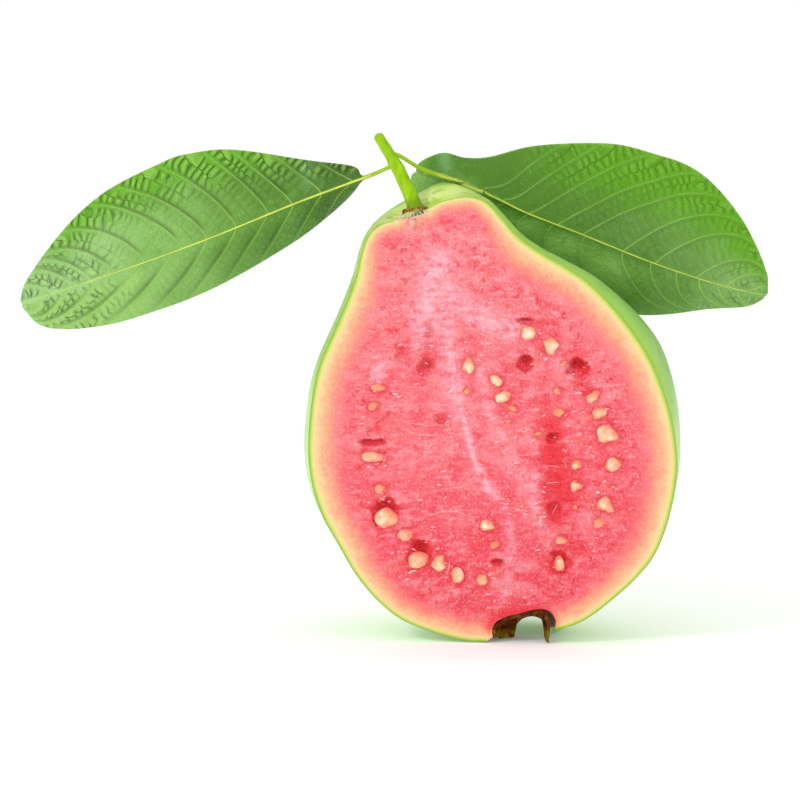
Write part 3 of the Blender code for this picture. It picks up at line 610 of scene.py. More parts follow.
def lay_strands(flat, noises, relief):
    """Pale strands of the core, a little proud of the pulp."""
    fine, ragged, combed = noises["fine"], noises["ragged"], noises["combed"]
    for line, width, strength in STRANDS:
        gap = distance_to_line(flat, smooth_path(line, STRAND_POINTS))
        gap = gap + 0.35 * width * combed + 0.45 * width * ragged
        mark = bell(gap, width * 1.3) * (0.75 + 0.8 * combed + 0.6 * fine + 0.5 * ragged)
        relief["height"] += STRAND_RISE * strength * bell(gap, width)
        relief["pale"] = np.maximum(relief["pale"], strength * mark)


def lay_red_patches(flat, noises, relief):
    """Deep red parts, a little below the pulp."""
    fine, ragged, combed = noises["fine"], noises["ragged"], noises["combed"]
    for x, z, half_width, half_height, strength in RED_PATCHES:
        reach = oval(flat, x, z, 2.0 * half_width, 2.0 * half_height)
        reach = reach + 0.60 * ragged + 0.25 * fine + 0.4 * combed
        mark = strength * (1.0 - smooth_step(reach, 0.10, 1.45)) * (1.0 + 0.5 * ragged + 0.4 * fine)
        mark = 1.0 - np.exp(-1.7 * np.maximum(mark, 0.0))
        relief["red"] = np.maximum(relief["red"], mark)
        relief["height"] -= PATCH_SINK * mark * (0.5 + np.clip(ragged, 0.0, 1.0))


def sink_pockets(flat, noises, relief):
    """Hollows with a raised lip, reddened, with painted shade darkening their upper middle."""
    uneven = 0.38 * noises["ragged"] + 0.12 * noises["fine"]
    for x, z, width, tall, depth, dark in POCKETS:
        reach = oval(flat, x, z, width, tall) + uneven
        sunk = oval(flat, x, z + 0.17 * tall, 0.84 * width, 0.60 * tall) + uneven
        inside = np.clip(1.0 - reach ** 2, 0.0, 1.0)
        relief["height"] += np.where(reach < 1.0, -POCKET_SHALLOWING * depth * np.sqrt(inside), 0.0)
        relief["height"] += POCKET_LIP * bell(reach - 1.16, 0.16)
        stain = (0.35 + 0.55 * dark) * (1.0 - smooth_step(reach, 0.80, 1.25))
        relief["red"] = np.maximum(relief["red"], stain)
        # Painted shade: a darker red over each hollow's upper part, where its top edge would shade it.
        relief["shaded_hole"] = np.maximum(relief["shaded_hole"], dark * (1.0 - smooth_step(sunk, 0.60, 1.0)))


def seat_seeds(flat, noises, relief):
    """A groove and a lip round each seed, with redder pulp beside it."""
    for x, z, length, width, tilt, proud in SEEDS + SMALL_SEEDS:
        showing = math.sqrt(1.0 - ((SEED_HALF_THICKNESS - proud) / SEED_HALF_THICKNESS) ** 2)
        reach = oval(flat, x, z, showing * length, showing * width, tilt) + 0.12 * noises["ragged"]
        sunk = np.minimum(relief["height"], -0.15)
        relief["height"] = np.where(reach < 0.88, sunk, relief["height"])
        relief["height"] += SEED_LIP * bell(reach - 1.15, 0.25)
        relief["red"] = np.maximum(relief["red"], 0.42 * bell(reach - 1.1, 0.34))
        relief["tone"] -= 0.25 * bell(reach - 1.3, 0.6)


def pulp_relief(flat, edge):
    """Height of the cut face towards the viewer, and its colour masks."""
    noises = pulp_grains(flat)
    fine, broad, ragged, cloudy, combed = noises.values()
    rind = rind_reach(flat)
    soft = smooth_step(rind, 3.5, 10.0) * smooth_step(edge, 0.0, 1.2)
    notch = distance_to_line(flat, np.array(NOTCH))
    tone = np.interp(flat[:, 1], *zip(*TONE_BY_HEIGHT)) + 0.34 * cloudy + 0.30 * ragged + 0.14 * combed
    tone -= 0.6 * bell(notch, 6.0)
    for x, z, half_width, half_height, strength in TONES:
        reach = oval(flat, x, z, 2.0 * half_width, 2.0 * half_height) + 0.30 * cloudy + 0.15 * ragged
        tone += strength * (1.0 - smooth_step(reach, 0.1, 1.4))
    relief = {
        "height": soft * (0.07 * fine + 0.12 * broad + 0.06 * combed) - 0.12 * bell(edge, 0.4),
        "tone": tone,
        "red": 0.80 * bell(notch, 0.9),
        "pale": np.zeros(len(flat)),
        "shaded_hole": np.zeros(len(flat)),
    }
    for shape_pulp in (lay_strands, lay_red_patches, sink_pockets, seat_seeds):
        shape_pulp(flat, noises, relief)
    head = np.hypot(flat[:, 0] - AXIS_HEAD[0], flat[:, 1] - AXIS_HEAD[1] + 0.6)
    masks = {
        "rim": rind,
        "red": np.clip(relief["red"], 0.0, 1.0),
        "pale": np.clip(relief["pale"], 0.0, 1.0),
        "shaded_hole": relief["shaded_hole"],
        "scar": bell(head + 0.9 * fine + 0.6 * ragged, 2.3) * np.clip(0.75 + 1.2 * fine, 0.0, 1.0),
        "tone": 0.5 + 0.5 * np.clip(relief["tone"], -1.0, 1.0),
    }
    return np.minimum(relief["height"], PULP_HIGHEST), masks


def knobbly(grid):
    """The skin's low bumps, none of them at the cut, the calyx or the socket."""
    steps, turns = grid.shape[:2]
    bumps = sum(height * grain(grid, size, seed) for size, seed, height in SKIN_BUMPS)
    fade = np.sin(np.linspace(0.0, math.pi, turns))[None, :] ** 0.5
    ends = smooth_step(np.arange(steps), HOLLOW_STEPS, HOLLOW_STEPS + 30)
    ends *= 1.0 - smooth_step(np.arange(steps), steps - 40, steps - 8)
    core = in_space(0.0, CORE_ALONG, 0.0) + np.array([0.0, CORE_DEPTH, 0.0])
    away = grid - core
    away /= np.linalg.norm(away, axis=-1, keepdims=True)
    return grid + away * (bumps * fade * ends[:, None])[..., None]


def pulp_triangles(outline):
    """An even net of triangles that fills the cut face's outline."""
    low, high = outline.min(0), outline.max(0)
    across = np.arange(low[0], high[0], PULP_SPACING)
    up = np.arange(low[1], high[1], PULP_SPACING * 0.866)
    shift = np.where(np.arange(len(up)) % 2, PULP_SPACING / 2.0, 0.0)
    lattice = np.column_stack([(across[None, :] + shift[:, None]).ravel(), np.repeat(up, len(across))])
    lattice = lattice[inside_outline(lattice, outline)]
    lattice = lattice[distance_to_line(lattice, outline[::3], closed=True) > 0.7 * PULP_SPACING]
    count = len(outline)
    edges = [(k, (k + 1) % count) for k in range(count)]
    seeds = [Vector(p) for p in np.vstack([outline, lattice])]
    made, _, triangles, origins = delaunay_2d_cdt(seeds, edges, [], 1, 1e-6)[:4]
    return np.array([tuple(v) for v in made]), triangles, origins


def fruit_surface():
    """Points, skin faces, pulp faces and masks of the fruit, its cut face stitched to its rim."""
    grid = knobbly(fruit_skin())
    grid[:, 0, 1] = 0.0
    grid[:, -1, 1] = 0.0
    grid = stand_flat(grid)
    rows, turns = len(grid) - 2, grid.shape[1]
    skin = np.vstack([grid[1:-1].reshape(-1, 3), grid[0, :1], grid[-1, :1]])
    foot, head = len(skin) - 2, len(skin) - 1
    top = (rows - 1) * turns
    skin_faces = grid_faces(rows, turns, flip=True)
    skin_faces += [(foot, j, j + 1) for j in range(turns - 1)]
    skin_faces += [(head, top + j + 1, top + j) for j in range(turns - 1)]
    right = [i * turns for i in range(rows)]
    left = [i * turns + turns - 1 for i in range(rows)]
    loop = [foot] + right + [head] + left[::-1]
    outline = skin[loop][:, [0, 2]]
    made, triangles, origins = pulp_triangles(outline)
    height, pulp_masks = pulp_relief(made, distance_to_line(made, outline[::3], closed=True))
    number = np.full(len(made), -1)
    for new, olds in enumerate(origins):
        on_rim = [old for old in olds if old < len(outline)]
        if on_rim:
            number[new] = loop[on_rim[0]]
    fresh = np.flatnonzero(number < 0)
    number[fresh] = len(skin) + np.arange(len(fresh))
    pulp = np.column_stack([made[fresh, 0], -height[fresh], made[fresh, 1]])
    pulp_faces = [tuple(int(number[k]) for k in face) for face in triangles]
    depth = skin[:, 1]
    socket_gap = np.linalg.norm(skin - np.array([AXIS_HEAD[0], 0.0, AXIS_HEAD[1]]), axis=1)
    hollow = np.zeros(len(skin))
    hollow[:(HOLLOW_STEPS + 1) * turns] = 1.0
    hollow[foot] = 1.0
    skin_masks = {"depth": depth, "hollow": hollow, "foot": 1.0 - smooth_step(socket_gap, 2.0, 4.2),
                  "crest": bell(socket_gap, 15.0) * (1.0 - smooth_step(depth, 4.0, 16.0))}
    masks = {label: np.concatenate([values, np.zeros(len(fresh))]) for label, values in skin_masks.items()}
    on_rim = np.flatnonzero(number < len(skin))
    for label, values in pulp_masks.items():
        masks[label] = np.zeros(len(skin) + len(fresh))
        masks[label][number[on_rim]] = values[on_rim]
        masks[label][number[fresh]] = values[fresh]
    return np.vstack([skin, pulp]), skin_faces, pulp_faces, masks


def srgb(red, green, blue):
    """A colour given as 0 to 255 values, in linear light."""
    def linear(value):
        share = value / 255.0
        return share / 12.92 if share <= 0.04045 else ((share + 0.055) / 1.055) ** 2.4
    return linear(red), linear(green), linear(blue)


def put(tree, socket, value):
    """Join a socket to an input, or set the input to a plain number or colour."""
    if isinstance(value, bpy.types.NodeSocket):
        tree.links.new(value, socket)
    elif isinstance(value, tuple) and len(value) == 3 and len(socket.default_value) == 4:
        socket.default_value = (*value, 1.0)
    else:
        socket.default_value = value


def new_material(name, roughness):
    """A material with its Principled shader."""
    material = bpy.data.materials.new(name)
    material.use_nodes = True
    shader = material.node_tree.nodes["Principled BSDF"]
    shader.inputs["Roughness"].default_value = roughness
    return material, material.node_tree, shader


def ramp(tree, source, stops):
    """A colour ramp driven by a value; each stop is a place and a colour."""
    node = tree.nodes.new("ShaderNodeValToRGB")
    band = node.color_ramp
    band.elements[0].position = stops[0][0]
    band.elements[0].color = (*stops[0][1], 1.0)
    band.elements[1].position = stops[-1][0]
    band.elements[1].color = (*stops[-1][1], 1.0)
    for place, colour in stops[1:-1]:
        band.elements.new(place).color = (*colour, 1.0)
    tree.links.new(source, node.inputs["Fac"])
    return node.outputs["Color"]


def stops_of(pairs):
    """Stops of a colour ramp from places and 0 to 255 values."""
    return [(place, srgb(*shade)) for place, shade in pairs]


def mix(tree, amount, first, second):
    """Two colours mixed by an amount."""
    node = tree.nodes.new("ShaderNodeMix")
    node.data_type = "RGBA"
    for key, value in ((0, amount), (6, first), (7, second)):
        put(tree, node.inputs[key], value)
    return node.outputs[2]


def calc(tree, operation, first, second=0.0):
    """A sum, product or other simple step on values."""
    node = tree.nodes.new("ShaderNodeMath")
    node.operation = operation
    put(tree, node.inputs[0], first)
    put(tree, node.inputs[1], second)
    return node.outputs[0]


def tint(tree, colour, mask, amount, shade):
    """A colour with a shade, given as 0 to 255 values, laid over it by a mask times an amount."""
    return mix(tree, calc(tree, "MULTIPLY", mask, amount), colour, srgb(*shade))


def centred(tree, source, amount):
    """Noise moved from round a half to round zero, and scaled."""
    return calc(tree, "MULTIPLY", calc(tree, "SUBTRACT", source, 0.5), amount)


def between(tree, source, low, high):
    """A value mapped from a range to 0 and 1 with soft ends."""
    node = tree.nodes.new("ShaderNodeMapRange")
    node.interpolation_type = "SMOOTHSTEP"
    node.inputs["From Min"].default_value = low
    node.inputs["From Max"].default_value = high
    tree.links.new(source, node.inputs["Value"])
    return node.outputs["Result"]


def stored(tree, name):
    """A value stored on the mesh."""
    node = tree.nodes.new("ShaderNodeAttribute")
    node.attribute_name = name
    return node.outputs["Fac"]


def mottle_group():
    """Node group: soft blotches of a given size, as a value and as a mask between two levels."""
    group = bpy.data.node_groups.new("mottle", "ShaderNodeTree")
    sockets = (("Size", "NodeSocketFloat", 1.0), ("Stretch", "NodeSocketVector", (1.0, 1.0, 1.0)),
               ("Detail", "NodeSocketFloat", 3.0), ("Low", "NodeSocketFloat", 0.4),
               ("High", "NodeSocketFloat", 0.6))
    for name, kind, value in sockets:
        group.interface.new_socket(name, in_out="INPUT", socket_type=kind).default_value = value
    group.interface.new_socket("Value", in_out="OUTPUT", socket_type="NodeSocketFloat")
    group.interface.new_socket("Mask", in_out="OUTPUT", socket_type="NodeSocketFloat")
    start = group.nodes.new("NodeGroupInput")
    end = group.nodes.new("NodeGroupOutput")
    place = group.nodes.new("ShaderNodeTexCoord")
    stretch = group.nodes.new("ShaderNodeVectorMath")
    stretch.operation = "MULTIPLY"
    group.links.new(place.outputs["Object"], stretch.inputs[0])
    group.links.new(start.outputs["Stretch"], stretch.inputs[1])
    per_metre = calc(group, "DIVIDE", 1000.0, start.outputs["Size"])
    clouds = group.nodes.new("ShaderNodeTexNoise")
    group.links.new(stretch.outputs[0], clouds.inputs["Vector"])
    group.links.new(per_metre, clouds.inputs["Scale"])
    group.links.new(start.outputs["Detail"], clouds.inputs["Detail"])
    mask = group.nodes.new("ShaderNodeMapRange")
    mask.interpolation_type = "SMOOTHSTEP"
    group.links.new(clouds.outputs["Fac"], mask.inputs["Value"])
    group.links.new(start.outputs["Low"], mask.inputs["From Min"])
    group.links.new(start.outputs["High"], mask.inputs["From Max"])
    group.links.new(clouds.outputs["Fac"], end.inputs["Value"])
    group.links.new(mask.outputs["Result"], end.inputs["Mask"])
    return group


def cells_group():
    """Node group: tiny cells of a given size, as a height that falls towards each cell's edge."""
    group = bpy.data.node_groups.new("cells", "ShaderNodeTree")
    group.interface.new_socket("Size", in_out="INPUT", socket_type="NodeSocketFloat").default_value = 0.5
    group.interface.new_socket("Sharpness", in_out="INPUT", socket_type="NodeSocketFloat").default_value = 0.5
    group.interface.new_socket("Height", in_out="OUTPUT", socket_type="NodeSocketFloat")
    start = group.nodes.new("NodeGroupInput")
    end = group.nodes.new("NodeGroupOutput")
    place = group.nodes.new("ShaderNodeTexCoord")
    net = group.nodes.new("ShaderNodeTexVoronoi")
    net.feature = "DISTANCE_TO_EDGE"
    group.links.new(place.outputs["Object"], net.inputs["Vector"])
    group.links.new(calc(group, "DIVIDE", 1000.0, start.outputs["Size"]), net.inputs["Scale"])
    group.links.new(calc(group, "POWER", net.outputs["Distance"], start.outputs["Sharpness"]),
                    end.inputs["Height"])
    return group


def shared_nodes(name, build):
    """A node group that is used more than once, built the first time it is wanted."""
    return bpy.data.node_groups.get(name) or build()


def mottle(tree, size, low=0.4, high=0.6, detail=3.0, stretch=(1.0, 1.0, 1.0)):
    """The mottle group placed in a material."""
    node = tree.nodes.new("ShaderNodeGroup")
    node.node_tree = shared_nodes("mottle", mottle_group)
    values = (("Size", size), ("Low", low), ("High", high), ("Detail", detail), ("Stretch", stretch))
    for label, value in values:
        node.inputs[label].default_value = value
    return node.outputs


def cells(tree, size, sharpness=0.5):
    """The cells group placed in a material."""
    node = tree.nodes.new("ShaderNodeGroup")
    node.node_tree = shared_nodes("cells", cells_group)
    node.inputs["Size"].default_value = size
    node.inputs["Sharpness"].default_value = sharpness
    return node.outputs["Height"]


def bump(tree, shader, height, strength, depth):
    """A bump of a given depth in millimetres on the shader's normal."""
    node = tree.nodes.new("ShaderNodeBump")
    node.inputs["Strength"].default_value = strength
    node.inputs["Distance"].default_value = depth * MM
    tree.links.new(height, node.inputs["Height"])
    tree.links.new(node.outputs["Normal"], shader.inputs["Normal"])


def glow_through(shader, weight, colour, reach):
    """Let light pass a little way under the surface."""
    shader.inputs["Subsurface Weight"].default_value = weight
    shader.inputs["Subsurface Radius"].default_value = colour
    shader.inputs["Subsurface Scale"].default_value = reach * MM


def pulp_material(colours):
    """Moist pulp: green rind line, yellow and peach flesh under it, pink and red inside."""
    material, tree, shader = new_material("guava_pulp", 0.24)
    rim = stored(tree, "rim")
    waves = centred(tree, mottle(tree, 3.4)["Value"], 2.2)
    waves = calc(tree, "MULTIPLY", waves, between(tree, rim, 0.2, 3.0))
    ruffles = centred(tree, mottle(tree, 1.1, detail=4.0)["Value"], 2.4)
    ruffles = calc(tree, "MULTIPLY", ruffles, between(tree, rim, 0.6, 3.0))
    depth = calc(tree, "ADD", rim, calc(tree, "ADD", waves, ruffles))
    stops = stops_of(RIND_COLOURS) + [(RIND_END, tuple(colours.pulp_edge))]
    colour = ramp(tree, calc(tree, "DIVIDE", depth, RIND_SPAN), stops)
    stops = stops_of(PULP_DEEPER) + [(0.50, tuple(colours.pulp))] + stops_of(PULP_PALER)
    inside = between(tree, depth, 3.5, 9.5)
    colour = mix(tree, inside, colour, ramp(tree, stored(tree, "tone"), stops))
    warm = calc(tree, "MULTIPLY", inside, mottle(tree, 4.2, 0.50, 0.72, 2.0)["Mask"])
    colour = tint(tree, colour, warm, 0.35, (248, 122, 98))
    for size, low, high, stretch, amount, shade in PULP_SPECKLES:
        specks = calc(tree, "MULTIPLY", mottle(tree, size, low, high, 3.0, stretch)["Mask"], inside)
        colour = tint(tree, colour, specks, amount, shade)
    ring = calc(tree, "SUBTRACT", between(tree, rim, 6.0, 9.0), between(tree, rim, 16.0, 21.0))
    pits = calc(tree, "MULTIPLY", ring, mottle(tree, 1.7, 0.56, 0.66, 2.0)["Mask"])
    colour = tint(tree, colour, pits, 0.75, (236, 20, 52))
    grit = calc(tree, "MULTIPLY", mottle(tree, 0.45, 0.50, 0.75, 2.0)["Mask"], between(tree, depth, 1.0, 4.0))
    colour = tint(tree, colour, grit, 0.35, (255, 218, 200))
    blush = calc(tree, "MULTIPLY", mottle(tree, 0.6, 0.48, 0.66, 3.0)["Mask"], between(tree, depth, 1.2, 3.5))
    colour = tint(tree, colour, blush, 0.30, (252, 106, 112))
    colour = mix(tree, stored(tree, "red"), colour, tuple(colours.deep))
    for label, shade in PULP_MARKS:
        colour = mix(tree, stored(tree, label), colour, srgb(*shade))
    tree.links.new(colour, shader.inputs["Base Color"])
    gloss = calc(tree, "SUBTRACT", 0.28, calc(tree, "MULTIPLY", stored(tree, "red"), 0.14))
    tree.links.new(gloss, shader.inputs["Roughness"])
    coat = calc(tree, "SUBTRACT", 0.35, calc(tree, "MULTIPLY", stored(tree, "shaded_hole"), 0.35))
    tree.links.new(coat, shader.inputs["Coat Weight"])
    shader.inputs["Coat Roughness"].default_value = 0.14
    glow_through(shader, 0.18, (1.0, 0.25, 0.22), 1.2)
    lumps = calc(tree, "ADD", mottle(tree, 0.5, detail=4.0)["Value"],
                 calc(tree, "MULTIPLY", cells(tree, 0.75, 0.6), 0.9))
    lumps = calc(tree, "ADD", lumps, mottle(tree, 0.9, detail=3.0, stretch=(0.3, 1.0, 1.0))["Value"])
    lumps = calc(tree, "ADD", lumps, mottle(tree, 1.8, detail=2.0)["Value"])
    lumps = calc(tree, "MULTIPLY", lumps, calc(tree, "ADD", 0.20, calc(tree, "MULTIPLY", inside, 0.80)))
    bump(tree, shader, lumps, 0.8, 0.42)
    return material


def skin_material(colours):
    """Light green skin: lime beside the cut, cooler behind, olive round the socket, tiny pores."""
    material, tree, shader = new_material("guava_skin", 0.36)
    depth = calc(tree, "ADD", stored(tree, "depth"), calc(tree, "MULTIPLY", mottle(tree, 9.0)["Value"], 3.0))
    stops = stops_of(SKIN_COLOURS) + [(1.0, tuple(colours.skin))]
    colour = ramp(tree, calc(tree, "DIVIDE", depth, SKIN_SPAN), stops)
    for size, low, high, detail, amount, shade in SKIN_MOTTLES:
        colour = tint(tree, colour, mottle(tree, size, low, high, detail)["Mask"], amount, shade)
    crest = stored(tree, "crest")
    colour = tint(tree, colour, crest, 0.9, (182, 218, 32))
    shine = mottle(tree, 3.6, 0.36, 0.58, 4.0, (0.5, 1.0, 1.6))["Mask"]
    colour = tint(tree, colour, crest, shine, (226, 238, 150))
    # Olive-brown patches on the crest.
    olive_patches = calc(tree, "MULTIPLY", crest, mottle(tree, 1.6, 0.55, 0.68, 3.0, (0.4, 1.0, 1.4))["Mask"])
    colour = tint(tree, colour, olive_patches, 0.6, (132, 122, 30))
    foot = stored(tree, "foot")
    colour = mix(tree, foot, colour, srgb(214, 196, 132))
    colour = tint(tree, colour, foot, mottle(tree, 0.5, 0.44, 0.60, 3.0)["Mask"], (150, 84, 30))
    colour = mix(tree, stored(tree, "hollow"), colour, srgb(126, 56, 12))
    tree.links.new(colour, shader.inputs["Base Color"])
    shader.inputs["Coat Weight"].default_value = 0.25
    shader.inputs["Coat Roughness"].default_value = 0.25
    glow_through(shader, 0.10, (0.5, 1.0, 0.3), 1.0)
    lumps = calc(tree, "ADD", mottle(tree, 0.7, detail=2.0)["Value"],
                 calc(tree, "MULTIPLY", mottle(tree, 2.6, detail=2.0)["Value"], 1.6))
    bump(tree, shader, lumps, 0.30, 0.30)
    return material


def seed_material(colours):
    """Cream seed coat, orange where pulp still veils it."""
    material, tree, shader = new_material("guava_seed", 0.20)
    colour = ramp(tree, mottle(tree, 1.4, detail=3.0)["Value"],
                  [(0.28, srgb(250, 158, 116)), (0.46, tuple(colours.seed)), (0.66, srgb(255, 228, 202))])
    place = tree.nodes.new("ShaderNodeTexCoord")
    split = tree.nodes.new("ShaderNodeSeparateXYZ")
    tree.links.new(place.outputs["Object"], split.inputs[0])
    above = calc(tree, "SUBTRACT", -SPOT[1] * MM, split.outputs["Y"])
    sunk = calc(tree, "SUBTRACT", 1.0, between(tree, above, 0.05 * MM, 0.95 * MM))
    colour = tint(tree, colour, sunk, 0.85, (246, 112, 98))
    colour = mix(tree, stored(tree, "veil"), colour, srgb(250, 146, 104))
    tree.links.new(colour, shader.inputs["Base Color"])
    shader.inputs["Coat Weight"].default_value = 0.5
    glow_through(shader, 0.25, (1.0, 0.6, 0.4), 0.8)
    bump(tree, shader, mottle(tree, 0.7, detail=3.0)["Value"], 0.35, 0.15)
    return material


def calyx_material():
    """Dry brown calyx, olive towards its torn edge."""
    material, tree, shader = new_material("guava_calyx", 0.80)
    shader.inputs["Specular IOR Level"].default_value = 0.1
    colour = ramp(tree, mottle(tree, 1.5, detail=5.0)["Value"],
                  [(0.30, srgb(58, 18, 0)), (0.50, srgb(92, 42, 4)), (0.72, srgb(128, 84, 14))])
    edge = calc(tree, "MULTIPLY", stored(tree, "edge"), mottle(tree, 0.9, 0.35, 0.65, 3.0)["Mask"])
    colour = mix(tree, edge, colour, srgb(142, 130, 22))
    tree.links.new(colour, shader.inputs["Base Color"])
    bump(tree, shader, mottle(tree, 0.6, detail=5.0, stretch=(1.0, 1.0, 0.35))["Value"], 0.8, 0.30)
    return material


def stem_material(colours):
    """Fresh yellow-green stem with lengthwise streaks, browner at its foot."""
    material, tree, shader = new_material("guava_stem", 0.50)
    shader.inputs["Specular IOR Level"].default_value = 0.2
    streaks = mottle(tree, 0.9, detail=4.0, stretch=(1.0, 1.0, 0.25))["Value"]
    stops = [(0.25, srgb(120, 172, 0)), (0.50, tuple(colours.stem)), (0.80, srgb(176, 216, 20))]
    colour = ramp(tree, streaks, stops)
    colour = tint(tree, colour, stored(tree, "foot"), 0.8, (110, 140, 10))
    colour = tint(tree, colour, stored(tree, "tip"), 0.35, (150, 160, 40))
    tree.links.new(colour, shader.inputs["Base Color"])
    glow_through(shader, 0.10, (0.6, 1.0, 0.2), 0.6)
    bump(tree, shader, streaks, 0.45, 0.20)
    return material


def leaf_material(name, greens, bright):
    """Green blade: quilted between its veins, brighter where the light comes through, with painted shade in
    its folds' grooves and beside its veins and painted highlights on the folds' crests.
    """
    material, tree, shader = new_material(name, 0.38)
    shader.inputs["Specular IOR Level"].default_value = 0.25
    base_green = np.array(greens[0][1])
    drift = centred(tree, mottle(tree, 9.0, detail=4.0)["Value"], 0.5)
    colour = ramp(tree, calc(tree, "ADD", stored(tree, "share"), drift), stops_of(greens))
    colour = mix(tree, stored(tree, "bright"), colour, srgb(*bright))
    # Paler lower half: on the right blade, painted light over the shade of the fruit's shoulder.
    colour = tint(tree, colour, stored(tree, "pale_low"), 0.75, (158, 206, 108))
    colour = mix(tree, stored(tree, "sheen"), colour, srgb(146, 204, 138))
    along = calc(tree, "DIVIDE", stored(tree, "along"), LADDER_PITCH)
    along = calc(tree, "ADD", along, calc(tree, "MULTIPLY", mottle(tree, 4.0, detail=1.0)["Value"], 1.6))
    rungs = calc(tree, "ABSOLUTE", calc(tree, "SINE", calc(tree, "MULTIPLY", along, math.pi)))
    rungs = calc(tree, "POWER", rungs, 0.45)
    away = between(tree, stored(tree, "gap"), 0.1, 1.1)
    patchy = calc(tree, "MULTIPLY", away, mottle(tree, 3.0, 0.28, 0.52, 2.0)["Mask"])
    patchy = calc(tree, "MULTIPLY", patchy, stored(tree, "fold"))
    # Painted shade in the grooves of the ladder of folds, then painted highlight on their crests.
    groove_shade = calc(tree, "MULTIPLY", calc(tree, "SUBTRACT", 1.0, rungs), patchy)
    colour = tint(tree, colour, groove_shade, 0.85, 0.50 * base_green)
    fold_highlight = calc(tree, "MULTIPLY", between(tree, rungs, 0.80, 1.0), patchy)
    colour = tint(tree, colour, fold_highlight, 0.30, (184, 226, 110))
    net = between(tree, cells(tree, 0.8, 0.5), 0.05, 0.45)
    colour = tint(tree, colour, calc(tree, "SUBTRACT", 1.0, net), 0.09, (160, 204, 80))
    # Painted shade on the far side of each side vein.
    colour = tint(tree, colour, stored(tree, "shade"), 0.50, 0.6 * base_green)
    colour = tint(tree, colour, stored(tree, "vein"), 0.18, (158, 204, 90))
    colour = tint(tree, colour, stored(tree, "margin"), 0.6, (150, 196, 50))
    colour = mix(tree, stored(tree, "stalk"), colour, srgb(160, 198, 30))
    tree.links.new(colour, shader.inputs["Base Color"])
    glow_through(shader, 0.08, (0.5, 1.0, 0.2), 0.6)
    height = calc(tree, "MULTIPLY", calc(tree, "MULTIPLY", rungs, patchy), 1.6)
    height = calc(tree, "ADD", height, calc(tree, "MULTIPLY", net, 0.25))
    height = calc(tree, "ADD", height, calc(tree, "MULTIPLY", mottle(tree, 1.2, detail=3.0)["Value"], 0.5))
    bump(tree, shader, height, 0.8, 0.40)
    return material


def plain_material(name, first, second, size, roughness, depth):
    """Two mottled colours with a fine bump, for veins, fibres and beads."""
    material, tree, shader = new_material(name, roughness)
    value = mottle(tree, size, detail=3.0)["Value"]
    tree.links.new(ramp(tree, value, [(0.35, first), (0.65, second)]), shader.inputs["Base Color"])
    bump(tree, shader, value, 0.4, depth)
    return material


def geometry_tree(name, inputs):
    """A Geometry Nodes tree with a mesh and named inputs; returns it with its two end nodes."""
    tree = bpy.data.node_groups.new(name, "GeometryNodeTree")
    tree.interface.new_socket("Geometry", in_out="INPUT", socket_type="NodeSocketGeometry")
    for label, kind, value in inputs:
        socket = tree.interface.new_socket(label, in_out="INPUT", socket_type=kind)
        if value is not None:
            socket.default_value = value
    tree.interface.new_socket("Material", in_out="INPUT", socket_type="NodeSocketMaterial")
    tree.interface.new_socket("Geometry", in_out="OUTPUT", socket_type="NodeSocketGeometry")
    return tree, tree.nodes.new("NodeGroupInput"), tree.nodes.new("NodeGroupOutput")


def end_tree(tree, start, end, geometry):
    """Smooth shading, real instances and the material at the end of a tree."""
    smooth = tree.nodes.new("GeometryNodeSetShadeSmooth")
    real = tree.nodes.new("GeometryNodeRealizeInstances")
    paint = tree.nodes.new("GeometryNodeSetMaterial")
    tree.links.new(geometry, smooth.inputs["Geometry"])
    tree.links.new(smooth.outputs["Geometry"], real.inputs["Geometry"])
    tree.links.new(real.outputs["Geometry"], paint.inputs["Geometry"])
    tree.links.new(start.outputs["Material"], paint.inputs["Material"])
    tree.links.new(paint.outputs["Geometry"], end.inputs["Geometry"])


def named(tree, label, kind="FLOAT"):
    """A named attribute read inside a Geometry Nodes tree."""
    node = tree.nodes.new("GeometryNodeInputNamedAttribute")
    node.data_type = kind
    node.inputs["Name"].default_value = label
    return node.outputs["Attribute"]


def tubes_tree():
    """Tree: a round tube along each run of edges, as thick as its width says."""
    tree, start, end = geometry_tree("tubes_on_paths", [("Sides", "NodeSocketInt", 6),
                                                        ("Thickness", "NodeSocketFloat", 1.0)])
    path = tree.nodes.new("GeometryNodeMeshToCurve")
    ring = tree.nodes.new("GeometryNodeCurvePrimitiveCircle")
    ring.mode = "RADIUS"
    ring.inputs["Radius"].default_value = 1.0
    skin = tree.nodes.new("GeometryNodeCurveToMesh")
    skin.inputs["Fill Caps"].default_value = True
    tree.links.new(start.outputs["Geometry"], path.inputs["Mesh"])
    tree.links.new(start.outputs["Sides"], ring.inputs["Resolution"])
    tree.links.new(path.outputs["Curve"], skin.inputs["Curve"])
    tree.links.new(ring.outputs["Curve"], skin.inputs["Profile Curve"])
    half_width = calc(tree, "MULTIPLY", named(tree, "width"), start.outputs["Thickness"])
    tree.links.new(half_width, skin.inputs["Scale"])
    end_tree(tree, start, end, skin.outputs["Mesh"])
    return tree


